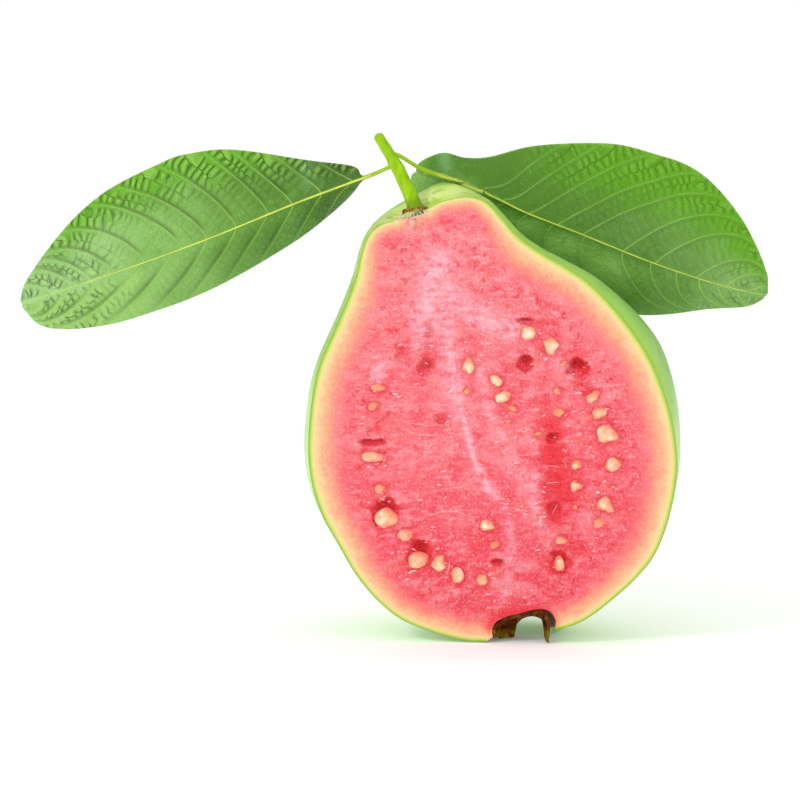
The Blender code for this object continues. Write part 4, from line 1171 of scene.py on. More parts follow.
def lumps_tree():
    """Tree: an uneven egg on each point, turned and sized as the point says."""
    tree, start, end = geometry_tree("eggs_on_points", [("Unevenness", "NodeSocketFloat", 0.0001),
                                                        ("Lump Size", "NodeSocketFloat", 0.0015),
                                                        ("Taper", "NodeSocketFloat", 0.25)])
    egg = tree.nodes.new("GeometryNodeMeshUVSphere")
    egg.inputs["Segments"].default_value = SEED_SIDES
    egg.inputs["Rings"].default_value = SEED_RINGS
    egg.inputs["Radius"].default_value = 1.0
    spot = tree.nodes.new("ShaderNodeSeparateXYZ")
    tree.links.new(tree.nodes.new("GeometryNodeInputPosition").outputs[0], spot.inputs[0])
    narrower = calc(tree, "SUBTRACT", 1.0, calc(tree, "MULTIPLY", spot.outputs["X"], start.outputs["Taper"]))
    pointed = tree.nodes.new("ShaderNodeCombineXYZ")
    tree.links.new(spot.outputs["X"], pointed.inputs["X"])
    for axis in ("Y", "Z"):
        tree.links.new(calc(tree, "MULTIPLY", spot.outputs[axis], narrower), pointed.inputs[axis])
    tapered = tree.nodes.new("GeometryNodeSetPosition")
    tree.links.new(egg.outputs["Mesh"], tapered.inputs["Geometry"])
    tree.links.new(pointed.outputs[0], tapered.inputs["Position"])
    place = tree.nodes.new("GeometryNodeInstanceOnPoints")
    turn = tree.nodes.new("FunctionNodeEulerToRotation")
    tree.links.new(named(tree, "turn", "FLOAT_VECTOR"), turn.inputs["Euler"])
    tree.links.new(start.outputs["Geometry"], place.inputs["Points"])
    tree.links.new(tapered.outputs["Geometry"], place.inputs["Instance"])
    tree.links.new(turn.outputs["Rotation"], place.inputs["Rotation"])
    tree.links.new(named(tree, "size", "FLOAT_VECTOR"), place.inputs["Scale"])
    real = tree.nodes.new("GeometryNodeRealizeInstances")
    tree.links.new(place.outputs["Instances"], real.inputs["Geometry"])
    clouds = tree.nodes.new("ShaderNodeTexNoise")
    clouds.inputs["Detail"].default_value = 1.0
    tree.links.new(calc(tree, "DIVIDE", 1.0, start.outputs["Lump Size"]), clouds.inputs["Scale"])
    centred = tree.nodes.new("ShaderNodeVectorMath")
    centred.operation = "SUBTRACT"
    centred.inputs[1].default_value = (0.5, 0.5, 0.5)
    push = tree.nodes.new("ShaderNodeVectorMath")
    push.operation = "SCALE"
    tree.links.new(clouds.outputs["Color"], centred.inputs[0])
    tree.links.new(centred.outputs[0], push.inputs[0])
    tree.links.new(start.outputs["Unevenness"], push.inputs["Scale"])
    shape = tree.nodes.new("GeometryNodeSetPosition")
    tree.links.new(real.outputs["Geometry"], shape.inputs["Geometry"])
    tree.links.new(push.outputs[0], shape.inputs["Offset"])
    end_tree(tree, start, end, shape.outputs["Geometry"])
    return tree


def beads_tree():
    """Tree: small drops scattered over a surface, thicker where its mask is higher."""
    tree, start, end = geometry_tree("drops_on_surface", [("Density", "NodeSocketFloat", 400000.0),
                                                          ("Smallest", "NodeSocketFloat", 0.00006),
                                                          ("Largest", "NodeSocketFloat", 0.00018),
                                                          ("Seed", "NodeSocketInt", 7)])
    scatter = tree.nodes.new("GeometryNodeDistributePointsOnFaces")
    drop = tree.nodes.new("GeometryNodeMeshUVSphere")
    drop.inputs["Segments"].default_value = DROP_SIDES
    drop.inputs["Rings"].default_value = DROP_RINGS
    drop.inputs["Radius"].default_value = 1.0
    size = tree.nodes.new("FunctionNodeRandomValue")
    place = tree.nodes.new("GeometryNodeInstanceOnPoints")
    tree.links.new(start.outputs["Geometry"], scatter.inputs["Mesh"])
    density = calc(tree, "MULTIPLY", start.outputs["Density"], named(tree, "drops"))
    tree.links.new(density, scatter.inputs["Density"])
    tree.links.new(start.outputs["Seed"], scatter.inputs["Seed"])
    tree.links.new(start.outputs["Smallest"], size.inputs[2])
    tree.links.new(start.outputs["Largest"], size.inputs[3])
    tree.links.new(start.outputs["Seed"], size.inputs["Seed"])
    slant = tree.nodes.new("FunctionNodeRandomValue")
    slant.data_type = "FLOAT_VECTOR"
    slant.inputs[0].default_value = (0.0, -0.7, 0.0)
    slant.inputs[1].default_value = (0.0, 0.4, 0.0)
    turn = tree.nodes.new("FunctionNodeEulerToRotation")
    tree.links.new(start.outputs["Seed"], slant.inputs["Seed"])
    tree.links.new(slant.outputs[0], turn.inputs["Euler"])
    tree.links.new(turn.outputs["Rotation"], place.inputs["Rotation"])
    shape = tree.nodes.new("ShaderNodeCombineXYZ")
    tree.links.new(calc(tree, "MULTIPLY", size.outputs[1], DROP_LENGTH), shape.inputs[0])
    tree.links.new(size.outputs[1], shape.inputs[1])
    tree.links.new(size.outputs[1], shape.inputs[2])
    tree.links.new(scatter.outputs["Points"], place.inputs["Points"])
    tree.links.new(drop.outputs["Mesh"], place.inputs["Instance"])
    tree.links.new(shape.outputs[0], place.inputs["Scale"])
    end_tree(tree, start, end, place.outputs["Instances"])
    return tree


def grow(name, mesh, tree, slot, **values):
    """The plain mesh that a Geometry Nodes tree grows from another mesh, as a piece of the fruit."""
    source = bpy.data.objects.new(name, mesh)
    bpy.context.scene.collection.objects.link(source)
    modifier = source.modifiers.new(tree.name, "NODES")
    modifier.node_group = tree
    for item in tree.interface.items_tree:
        if item.in_out == "INPUT" and item.name in values:
            modifier[item.identifier] = values[item.name]
    depsgraph = bpy.context.evaluated_depsgraph_get()
    made = bpy.data.meshes.new_from_object(source.evaluated_get(depsgraph), depsgraph=depsgraph)
    bpy.data.objects.remove(source, do_unlink=True)
    if not len(made.polygons):
        raise RuntimeError(f"{name} came out empty")
    made.name = name
    places = np.empty(len(made.vertices) * 3)
    made.vertices.foreach_get("co", places)
    made.vertices.foreach_set("co", in_box(places.reshape(-1, 3)).ravel())
    made.update()
    return add_piece(name, made, slot)


def path_mesh(name, paths):
    """A mesh of edge runs; each path is its points in millimetres and their half widths."""
    points, widths, edges = [], [], []
    for places, width in paths:
        first = len(points)
        points += list(to_part(places))
        widths += list(np.broadcast_to(width, len(places)) * MM)
        edges += [(first + k, first + k + 1) for k in range(len(places) - 1)]
    mesh = bpy.data.meshes.new(name)
    mesh.from_pydata([tuple(p) for p in points], edges, [])
    mesh.attributes.new("width", "FLOAT", "POINT").data.foreach_set("value", np.array(widths, np.float32))
    return mesh


def surface_height(x_and_z):
    """Where the pulp's surface lies at points of the cut face."""
    outline = np.array(RIGHT_RIM + LEFT_RIM[::-1])
    rim = distance_to_line(x_and_z, outline, closed=True)
    return pulp_relief(x_and_z, rim)[0]


def build_fruit(sizes, colours):
    """Skin and pulp as one closed piece, then drops of juice on the pulp, pale as painted wet glints."""
    points, skin_faces, pulp_faces, masks = fruit_surface()
    piece = new_piece("fruit_flesh", points, skin_faces + pulp_faces, "fruit", skin_material(colours), masks)
    piece.data.materials.append(pulp_material(colours))
    kinds = np.zeros(len(piece.data.polygons), dtype=np.int32)
    kinds[len(skin_faces):] = 1
    piece.data.polygons.foreach_set("material_index", kinds)
    point_outwards(piece.data)
    piece.data.set_sharp_from_angle(angle=math.radians(60))
    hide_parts("guava_half")
    # Where the drops gather: drops of juice whose pale colour makes them painted wet glints.
    patchy = smooth_step(grain(points, 4.0, 9.0), 0.0, 0.5)
    glint_spread = smooth_step(masks["rim"], 7.0, 12.0) * (0.15 + 0.85 * patchy) * (0.4 + 0.6 * masks["pale"])
    face = bpy.data.meshes.new("pulp_face")
    face.from_pydata(to_part(points).tolist(), [], pulp_faces)
    face.attributes.new("drops", "FLOAT", "POINT").data.foreach_set("value", glint_spread.astype(np.float32))
    # Pale pink-white colour of the drops: painted glints.
    material = plain_material("guava_juice_glint", srgb(255, 168, 178), srgb(255, 218, 224), 2.0, 0.15, 0.02)
    material.node_tree.nodes["Principled BSDF"].inputs["Coat Weight"].default_value = 0.5
    grow("juice_glint_drops", face, beads_tree(), "fruit", Density=sizes.drops * 1.0e6,
         Smallest=DROP_SMALLEST * MM, Largest=sizes.drop_size, Seed=DROP_SEED, Material=material)


def build_seeds(sizes, colours):
    """Seeds set in the pulp, and the thin threads between them."""
    rows = SEEDS + SMALL_SEEDS
    mesh = bpy.data.meshes.new("seed_places")
    spots = [(x, SEED_HALF_THICKNESS - proud, z) for x, z, _, _, _, proud in rows]
    mesh.from_pydata(to_part(spots).tolist(), [], [])
    turns = [(0.0, -math.radians(tilt), 0.0) for _, _, _, _, tilt, _ in rows]
    extents = [(length / 2.0, SEED_HALF_THICKNESS, width / 2.0) for _, _, length, width, _, _ in rows]
    veils = [VEIL * float(proud <= VEILED_BELOW) for *_, proud in rows]
    for label, values in (("turn", np.array(turns)), ("size", np.array(extents) * MM)):
        mesh.attributes.new(label, "FLOAT_VECTOR", "POINT").data.foreach_set("vector", values.ravel())
    mesh.attributes.new("veil", "FLOAT", "POINT").data.foreach_set("value", np.array(veils))
    grow("seeds", mesh, lumps_tree(), "fruit", Unevenness=sizes.seed_unevenness, Taper=SEED_TAPER,
         Material=seed_material(colours), **{"Lump Size": SEED_LUMP * MM})
    paths = []
    half_widths = THREAD_HALF_WIDTH * np.sin(np.linspace(0.15, math.pi - 0.15, THREAD_POINTS))
    for line in THREADS:
        run = smooth_path(line, THREAD_POINTS)
        run = run + THREAD_WAVER * np.column_stack([grain(np.column_stack([run, run[:, 0] * 0.0]), 1.2, seed)
                                                    for seed in (1.0, 4.0)])
        places = np.column_stack([run[:, 0], -surface_height(run) - THREAD_LIFT, run[:, 1]])
        paths.append((places, half_widths))
    material = plain_material("guava_thread", srgb(255, 150, 158), srgb(255, 194, 194), 1.0, 0.2, 0.05)
    tubes = shared_nodes("tubes_on_paths", tubes_tree)
    grow("pulp_threads", path_mesh("thread_paths", paths), tubes, "fruit",
         Sides=TUBE_SIDES, Thickness=1.0, Material=material)


def build_calyx():
    """The dry cup at the base, crinkled and torn along its edge."""
    degrees, heights = zip(*CALYX_EDGE)
    turn = np.linspace(0.0, math.pi, CALYX_STEPS + 1)
    roof_out, roof_along = CALYX_ROOF[-1]
    middle_x = AXIS_FOOT[0] + roof_along * AXIS[0]
    roof_z = in_space(roof_out, roof_along, turn)[:, 2]
    round_it = np.column_stack([np.cos(turn) * 5.0, np.sin(turn) * 5.0, turn * 0.0])
    torn = 0.45 * np.clip(grain(round_it, 0.5), 0.0, 1.0)
    torn = torn + 0.15 * np.clip(grain(round_it, 0.2, 3.0), 0.0, 1.0)
    edge_z = np.interp(np.degrees(turn), degrees, heights) + torn
    edge_z = np.minimum(np.maximum(edge_z, 0.12), roof_z - 0.4)
    rows, edges = [], []

    def wall(share, thickness):
        out = np.interp(share, [0.0, 0.4, 1.0], [roof_out, CALYX_WALL_OUT, CALYX_TIP_OUT]) - thickness
        z = roof_z + (edge_z - roof_z) * share
        crinkle = 0.16 * grain(np.column_stack([round_it[:, :2] * 0.9, z * 0.25]), 0.45, 2.0)
        reach = out + np.minimum(crinkle, 0.03)
        x = middle_x + reach * np.cos(turn) * ACROSS[0]
        rows.append(np.stack([x, reach * np.sin(turn), z], axis=-1))
        edges.append(smooth_step(share, 0.45, 1.0))

    for out, along in smooth_path(CALYX_ROOF, 10):
        rows.append(in_space(out + 0.0 * turn, along + 0.0 * turn, turn))
        edges.append(0.0)
    for share in np.linspace(0.0, 1.0, 18)[1:]:
        wall(share, 0.0)
    for share in np.linspace(1.0, 0.15, 16):
        wall(share, CALYX_WALL_THICKNESS * (0.35 + 0.6 * (1.0 - share)))
    for out, along in ((roof_out - 1.3, roof_along - CALYX_ROOF_THICKNESS * 0.6),
                       (CALYX_ROOF[1][0] - 0.5, CALYX_ROOF[1][1] - CALYX_ROOF_THICKNESS),
                       (0.0, CALYX_ROOF[0][1] - CALYX_ROOF_THICKNESS)):
        rows.append(in_space(out + 0.0 * turn, along + 0.0 * turn, turn))
        edges.append(0.0)
    grid = np.array(rows)
    grid[:, 0, 1] = 0.0
    grid[:, -1, 1] = 0.0
    count, width = grid.shape[:2]
    faces = grid_faces(count, width)
    faces.append([i * width for i in range(count)])
    faces.append([i * width + width - 1 for i in range(count)][::-1])
    masks = {"edge": np.repeat(np.array(edges, float), width)}
    piece = new_piece("calyx_cup", grid.reshape(-1, 3), faces, "calyx", calyx_material(), masks)
    close_and_orient(piece)
    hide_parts("calyx")


def rings_along(stations, sides):
    """Rings of points square to a run of stations with X, Y, Z and radius."""
    places = stations[:, :3]
    ahead = np.gradient(places, axis=0)
    ahead /= np.linalg.norm(ahead, axis=1, keepdims=True)
    first = np.cross(ahead, np.array([0.0, 1.0, 0.0]))
    first /= np.linalg.norm(first, axis=1, keepdims=True)
    second = np.cross(ahead, first)
    angle = np.linspace(0.0, 2.0 * math.pi, sides, endpoint=False)
    reach = stations[:, 3][:, None, None]
    return (places[:, None, :] + first[:, None, :] * np.cos(angle)[None, :, None] * reach
            + second[:, None, :] * np.sin(angle)[None, :, None] * reach)


def stem_stations():
    """Points and radii up the stem from its flare, and how far up each one is."""
    path_and_radius = [(*point, radius) for point, radius in zip(STEM_PATH, STEM_RADII)]
    stations = smooth_path(path_and_radius, STEM_STEPS)
    foot = stations[0].copy()
    foot[:3] -= np.array([AXIS[0], 0.0, AXIS[1]]) * STEM_SINK
    foot[3] = STEM_FLARE
    flare = np.linspace(foot, stations[0], FLARE_STEPS)[:-1]
    share = np.concatenate([np.zeros(len(flare)), np.linspace(0.0, 1.0, STEM_STEPS)])
    return np.vstack([flare, stations]), share


def build_stem(colours):
    """The stem with its ridges, knuckles and cut tip."""
    stations, share = stem_stations()
    rings = rings_along(stations, STEM_SIDES)
    angle = np.linspace(0.0, 2.0 * math.pi, STEM_SIDES, endpoint=False)[None, :]
    centre = stations[:, None, :3]
    ridges = 0.035 * np.cos(5.0 * angle + 2.0 * share[:, None])
    ridges = ridges + 0.04 * grain(rings * np.array([1.0, 1.0, 0.2]), 0.8, 4.0)
    knuckles = sum(height * bell(share - up, KNUCKLE_SPREAD)[:, None] * (0.6 + lean * np.cos(angle))
                   for up, height, lean in KNUCKLES)
    rings = centre + (rings - centre) * (1.0 + ridges + knuckles)[..., None]
    tip = stations[-1]
    direction = tip[:3] - stations[-3][:3]
    direction /= np.linalg.norm(direction)
    caps = [tip[:3] + (rings[-1] - tip[:3]) * math.cos(turn) + direction * tip[3] * 0.8 * math.sin(turn)
            for turn in (0.35, 0.7, 1.05, 1.35)]
    rows = np.vstack([rings, np.array(caps)])
    count = len(rows)
    faces = grid_faces(count, STEM_SIDES, closed=True)
    faces.append(list(range(STEM_SIDES)))
    faces.append(list(range((count - 1) * STEM_SIDES, count * STEM_SIDES))[::-1])
    up = np.concatenate([share, np.ones(len(caps))])
    masks = {"foot": np.repeat(1.0 - smooth_step(up, 0.0, 0.14), STEM_SIDES),
             "tip": np.repeat(smooth_step(up, 0.96, 1.0), STEM_SIDES)}
    piece = new_piece("stem_twig", rows.reshape(-1, 3), faces, "stem", stem_material(colours), masks)
    close_and_orient(piece)
    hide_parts("stem")


def build_scar():
    """The fibres of the scar round the stem's foot, in front of it and at its sides."""
    foot = stem_stations()[0][0]
    tubes = shared_nodes("tubes_on_paths", tubes_tree)
    for label, count, start_out, down, lengths, half_width, first, second in SCAR_FIBRES:
        chance = np.random.default_rng(SCAR_SEED)
        paths = []
        for _ in range(count):
            angle = math.radians(chance.uniform(185.0, 355.0))
            out = start_out * chance.uniform(0.65, 1.2)
            start = np.array([foot[0] + out * math.cos(angle), min(foot[1] + out * math.sin(angle), 0.3),
                              foot[2] + 0.15 - down + 0.22 * out * math.cos(angle)])
            length = chance.uniform(*lengths)
            drop = np.array([math.cos(angle) * length * 0.8, -0.12, -length * chance.uniform(0.3, 0.9)])
            sway = np.array([chance.uniform(-0.25, 0.25), -0.15, chance.uniform(-0.1, 0.3)])
            paths.append((smooth_path([start, start + 0.5 * drop + sway, start + drop], 10),
                          half_width * np.sin(np.linspace(0.4, math.pi - 0.15, 10))))
        look = plain_material(f"guava_{label}", srgb(*first), srgb(*second), 0.6, 0.6, 0.05)
        grow(label, path_mesh(f"{label}_paths", paths), tubes, "stem",
             Sides=TUBE_SIDES, Thickness=1.0, Material=look)


def leaf_frame(shape):
    """The blade's middle, upper and lower lines, and a function from share and reach to points."""
    lines = {side: smooth_path(shape[side], BLADE_STEPS) for side in ("midrib", "upper", "lower")}
    shares = np.linspace(0.0, 1.0, BLADE_STEPS)

    def at(share, reach, side):
        middle = np.stack([np.interp(share, shares, lines["midrib"][:, k]) for k in range(3)], axis=-1)
        edge = np.stack([np.interp(share, shares, lines[side][:, k]) for k in range(3)], axis=-1)
        point = middle + (edge - middle) * reach[..., None]
        point[..., 1] = middle[..., 1] + (edge[..., 1] - middle[..., 1]) * reach ** 1.5
        wave = np.cos(2.0 * math.pi * QUILT_WAVES * (share - 0.06 * reach))
        room = reach * (1.0 - reach) * 4.0 * np.sin(math.pi * share)
        point[..., 1] += QUILT_HEIGHT * wave * room
        return point

    return at


def vein_lines(shape, side):
    """Share and reach along each side vein, from the midrib to near the edge."""
    reach = np.linspace(0.0, 0.97, 34)
    for start, sweep in shape["veins"][side]:
        share = start + sweep * reach ** shape["bend"][side]
        keep = share < 0.985
        yield share[keep], reach[keep]


def vein_map(shape, at, points, side):
    """For points of a half blade: distance to the nearest side vein, place along it, and its side."""
    gap = np.full(len(points), 1e9)
    along = np.zeros(len(points))
    lee = np.zeros(len(points))
    for number, (share, reach) in enumerate(vein_lines(shape, side)):
        line = at(share, reach, side)[:, [0, 2]]
        walked = VEIN_SHIFT * number
        for a, b in zip(line, line[1:]):
            step = b - a
            length = float(np.linalg.norm(step))
            place = np.clip((points - a) @ step / length ** 2, 0.0, 1.0)
            here = np.linalg.norm(points - a - place[:, None] * step, axis=1)
            closer = here < gap
            gap = np.where(closer, here, gap)
            along = np.where(closer, walked + place * length, along)
            turned = (points[:, 0] - a[0]) * step[1] - (points[:, 1] - a[1]) * step[0]
            lee = np.where(closer, np.sign(turned), lee)
            walked += length
    return gap, along, lee


def petiole_rows(shape, columns):
    """Middle points and half thicknesses of the petiole, with as many columns as the blade."""
    petiole = smooth_path(shape["petiole"], PETIOLE_STEPS)
    ahead = np.gradient(petiole, axis=0)
    across = np.cross(ahead, np.array([0.0, -1.0, 0.0]))
    across /= np.linalg.norm(across, axis=1, keepdims=True)
    across *= np.where(across[:, 2] < 0.0, -1.0, 1.0)[:, None]
    angle = np.linspace(0.0, math.pi, columns)
    stalk = petiole[:, None, :] - across[:, None, :] * (np.cos(angle) * PETIOLE_RADIUS)[None, :, None]
    return stalk, np.tile(np.maximum(0.05, PETIOLE_RADIUS * np.sin(angle)), (PETIOLE_STEPS, 1))


def light_masks(shape, blade, share, reach, is_upper, rough):
    """Where the light comes through the blade, where it is paler, partly as painted light, and where it
    gleams.
    """
    lit_from, lit_to, lit_reach = shape["lit"]
    lit = np.where(is_upper, smooth_step(reach + 0.12 * rough, *lit_reach), 0.0)
    lit = lit * smooth_step(share, lit_from - 0.15, lit_from + 0.1)
    lit = lit * (1.0 - smooth_step(share, lit_to - 0.1, lit_to + 0.12))
    low_from, low_to = shape["pale_low"]
    pale = smooth_step(share, low_from - 0.1, low_from) * (1.0 - smooth_step(share, low_to, low_to + 0.2))
    pale = np.where(is_upper, 0.0, pale) * smooth_step(reach, 0.0, 0.3)
    sheen_line, sheen_strength = shape["sheen"]
    sheen = distance_to_line(blade[..., [0, 2]].reshape(-1, 2), np.array(sheen_line)).reshape(share.shape)
    sheen = sheen_strength * bell(sheen + 0.3 * rough, 1.3) * is_upper
    return {"bright": lit, "pale_low": pale, "sheen": sheen}


def leaf_grid(shape):
    """Middle points of a petiole and blade with half thicknesses and masks, rows by columns."""
    at = leaf_frame(shape)
    side = np.linspace(0.0, 1.0, BLADE_COLUMNS + 1) ** COLUMN_POWER
    columns = np.concatenate([-side[:0:-1], side])
    stalk, stalk_half = petiole_rows(shape, len(columns))
    share = np.repeat(np.linspace(0.0, 1.0, BLADE_STEPS)[:, None], len(columns), axis=1)
    reach = np.abs(columns)[None, :] * np.ones_like(share)
    blade = np.empty((*share.shape, 3))
    gap, along, lee = (np.empty_like(share) for _ in range(3))
    for name, chosen in (("upper", columns >= 0.0), ("lower", columns < 0.0)):
        blade[:, chosen] = at(share[:, chosen], reach[:, chosen], name)
        flat = blade[:, chosen][..., [0, 2]].reshape(-1, 2)
        for values, found in zip((gap, along, lee), vein_map(shape, at, flat, name)):
            values[:, chosen] = found.reshape(-1, chosen.sum())
    rib_gap = np.abs(np.linalg.norm(blade - blade[:, BLADE_COLUMNS][:, None], axis=2))
    gap = np.minimum(gap, rib_gap)
    rough = grain(blade, 2.2, 3.0)
    # Painted shade on the far side of each side vein.
    shade = bell(gap - 0.45, 0.45) * np.clip(lee * shape["lee"], 0.0, 1.0) * (1.0 - reach ** 4)
    shade *= smooth_step(rib_gap, 1.0, 4.0)
    pillow = smooth_step(gap, 0.0, 2.6) * (1.0 - 0.7 * reach ** 5)
    is_upper = (columns >= 0.0)[None, :]
    fold = np.where(is_upper, smooth_step(reach, *shape["folded"]), 0.0)
    fold = np.maximum(fold, smooth_step(share + 0.1 * rough, *shape["folded_tip"])) * shape["fold"]
    fold = np.maximum(fold, 0.15) * smooth_step(share, *shape["smooth_base"])
    rungs = np.cos(2.0 * math.pi * (along / LADDER_PITCH + 0.4 * grain(blade, 4.0, 6.0)))
    folds = fold * rungs * smooth_step(gap, 0.2, 1.2) * smooth_step(reach, 0.02, 0.35) * (1.0 - reach ** 8)
    ends = np.sin(math.pi * np.clip(share, 0.0, 1.0)) ** 0.4
    blade[..., 1] -= ends * (shape["quilt"] * pillow + shape["ladder"] * folds)
    half = BLADE_HALF_THICKNESS * (1.0 - 0.6 * reach ** 6)
    half = half + RIB_RISE * bell(rib_gap, 0.5) * (1.0 - 0.6 * share)
    masks = {"vein": bell(gap, 0.24), "share": share, "fold": fold, "shade": shade, "gap": gap,
             "along": along, "margin": smooth_step(reach, 0.975, 1.0),
             **light_masks(shape, blade, share, reach, is_upper, rough)}
    on_stalk = np.zeros(stalk.shape[:2])
    masks = {label: np.vstack([on_stalk, values]) for label, values in masks.items()}
    masks["stalk"] = np.vstack([on_stalk + 1.0, np.zeros_like(share)])
    return np.vstack([stalk, blade]), np.vstack([stalk_half, half]), masks


def read_grid(grid, row, column):
    """Points of a grid at fractional rows and columns."""
    i = np.clip(np.floor(row).astype(int), 0, grid.shape[0] - 2)
    j = np.clip(np.floor(column).astype(int), 0, grid.shape[1] - 2)
    u = (row - i)[..., None]
    v = (column - j)[..., None]
    return ((1 - u) * (1 - v) * grid[i, j] + u * (1 - v) * grid[i + 1, j]
            + (1 - u) * v * grid[i, j + 1] + u * v * grid[i + 1, j + 1])


def build_leaf(node, shape, material, colours, sizes):
    """One leaf: petiole and quilted blade, then its midrib and side veins on both faces."""
    grid, halves, masks = leaf_grid(shape)
    normals = np.cross(np.gradient(grid, axis=0), np.gradient(grid, axis=1))
    normals /= np.linalg.norm(normals, axis=2, keepdims=True) + 1e-12
    if normals[len(normals) // 2, BLADE_COLUMNS, 1] > 0.0:
        normals = -normals
    rows, columns = grid.shape[:2]
    front_grid = grid + normals * halves[..., None]
    back_grid = grid - normals * halves[..., None]
    total = rows * columns
    faces = grid_faces(rows, columns) + grid_faces(rows, columns, total, flip=True)
    rim = [i * columns for i in range(rows)] + [(rows - 1) * columns + j for j in range(1, columns)]
    rim += [i * columns + columns - 1 for i in range(rows - 2, -1, -1)] + list(range(columns - 2, 0, -1))
    faces += [(a, b, b + total, a + total) for a, b in zip(rim, rim[1:] + rim[:1])]
    both = {label: np.concatenate([values.ravel(), values.ravel()]) for label, values in masks.items()}
    piece = new_piece(f"{node}_blade", np.vstack([front_grid.reshape(-1, 3), back_grid.reshape(-1, 3)]),
                      faces, "leaf", material, both)
    point_outwards(piece.data)
    piece.data.shade_smooth()
    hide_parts(node)
    side_veins, ribs = [], []
    for surface, side_width, rib_width in ((front_grid, sizes.vein_width / MM, RIB_HALF_WIDTH),
                                           (back_grid, BACK_VEIN_HALF_WIDTH, BACK_RIB_HALF_WIDTH)):
        for side, sign in (("upper", 1.0), ("lower", -1.0)):
            for share, reach in vein_lines(shape, side):
                row = PETIOLE_STEPS + share * (BLADE_STEPS - 1)
                column = BLADE_COLUMNS + sign * BLADE_COLUMNS * reach ** (1.0 / COLUMN_POWER)
                places = read_grid(surface, row, column)
                uneven = 1.0 + 0.5 * grain(places, 2.5, 5.0)
                side_veins.append((places, side_width * uneven * (1.0 - 0.85 * reach)))
        row = np.linspace(PETIOLE_STEPS - RIB_OVERLAP, rows - 3.0, RIB_POINTS)
        width = rib_width * (1.0 - 0.85 * np.linspace(0.0, 1.0, RIB_POINTS))
        places = read_grid(surface, row, np.full(RIB_POINTS, float(BLADE_COLUMNS)))
        for _ in range(RIB_EVENING):
            places[1:-1] = (places[:-2] + places[1:-1] + places[2:]) / 3.0
        ribs.append((places, width))
    tubes = shared_nodes("tubes_on_paths", tubes_tree)
    for label, paths, green in (("veins", side_veins, colours.vein), ("midrib", ribs, colours.midrib)):
        darker = tuple(0.76 * value for value in green)
        look = plain_material(f"{node}_{label}", darker, tuple(green), 3.0, 0.4, 0.05)
        grow(f"{node}_{label}", path_mesh(f"{label}_paths", paths), tubes, "leaf",
             Sides=TUBE_SIDES, Thickness=1.0, Material=look)


def white_floor():
    """A wide white floor that gives off a little light."""
    bpy.ops.mesh.primitive_plane_add(size=FLOOR_SIZE, location=(0.0, 0.0, 0.0))
    floor = bpy.context.object
    floor.name = "floor"
    material, _, shader = new_material("floor_white", 0.9)
    shader.inputs["Base Color"].default_value = (0.96, 0.96, 0.96, 1.0)
    shader.inputs["Specular IOR Level"].default_value = 0.0
    shader.inputs["Emission Color"].default_value = WHITE
    shader.inputs["Emission Strength"].default_value = FLOOR_GLOW
    floor.data.materials.append(material)


def soft_world():
    """Even white light from all round, dimmer in reflections and plain white to the camera."""
    world = bpy.data.worlds.new("studio")
    world.use_nodes = True
    nodes, links = world.node_tree.nodes, world.node_tree.links
    nodes["Background"].inputs["Color"].default_value = WHITE
    nodes["Background"].inputs["Strength"].default_value = WORLD_LIGHT
    rays = nodes.new("ShaderNodeLightPath")
    light = nodes["Background"].outputs[0]
    for ray, strength in (("Is Glossy Ray", WORLD_IN_REFLECTIONS), ("Is Camera Ray", 1.0)):
        seen = nodes.new("ShaderNodeBackground")
        seen.inputs["Color"].default_value = WHITE
        seen.inputs["Strength"].default_value = strength
        blend = nodes.new("ShaderNodeMixShader")
        links.new(rays.outputs[ray], blend.inputs[0])
        links.new(light, blend.inputs[1])
        links.new(seen.outputs[0], blend.inputs[2])
        light = blend.outputs[0]
    links.new(light, nodes["World Output"].inputs["Surface"])
    bpy.context.scene.world = world
    bpy.context.scene.view_settings.view_transform = "Standard"


def lamps():
    """Soft lamps that face the fruit's middle."""
    for name, place, size, power in LIGHTS:
        light = bpy.data.lights.new(name, "AREA")
        light.size = size
        light.energy = power
        lamp = bpy.data.objects.new(name, light)
        lamp.location = place
        towards = Vector(LAMP_TARGET) - Vector(place)
        lamp.rotation_euler = towards.to_track_quat("-Z", "Y").to_euler()
        bpy.context.scene.collection.objects.link(lamp)


def camera():
    """The camera, a long lens at a distance."""
    azimuth, elevation = math.radians(CAMERA_AZIMUTH), math.radians(CAMERA_ELEVATION)
    back = Vector((math.sin(azimuth) * math.cos(elevation), -math.cos(azimuth) * math.cos(elevation),
                   math.sin(elevation)))
    lens = bpy.data.cameras.new("camera")
    lens.lens = CAMERA_LENS
    lens.clip_start = CLIP_START
    holder = bpy.data.objects.new("camera", lens)
    holder.location = Vector(CAMERA_TARGET) * MM + back * CAMERA_DISTANCE * MM
    holder.rotation_euler = (-back).to_track_quat("-Z", "Y").to_euler()
    bpy.context.scene.collection.objects.link(holder)
    bpy.context.scene.camera = holder


class GuavaSizes(bpy.types.PropertyGroup):
    """Sizes that a user may change."""
    drops: FloatProperty(name="Juice drops", description="Drops on each square millimetre of pulp",
                         default=0.7, min=0.0, max=3.0)
    drop_size: FloatProperty(name="Drop size", description="Radius of the largest drop of juice",
                             default=0.15 * MM, min=0.05 * MM, max=0.5 * MM, precision=6, unit="LENGTH")
    seed_unevenness: FloatProperty(name="Seed unevenness",
                                   description="How far seeds stray from a smooth egg",
                                   default=1.3 * MM, min=0.0, max=4.0 * MM, precision=5, unit="LENGTH")
    vein_width: FloatProperty(name="Vein width", description="Half width of a side vein on the upper face",
                              default=0.08 * MM, min=0.02 * MM, max=0.4 * MM, precision=6, unit="LENGTH")


def colour_setting(name, description, red, green, blue):
    """A colour that a user may change; its default is given as 0 to 255 values."""
    return FloatVectorProperty(name=name, description=description, subtype="COLOR", min=0.0, max=1.0,
                               default=srgb(red, green, blue))


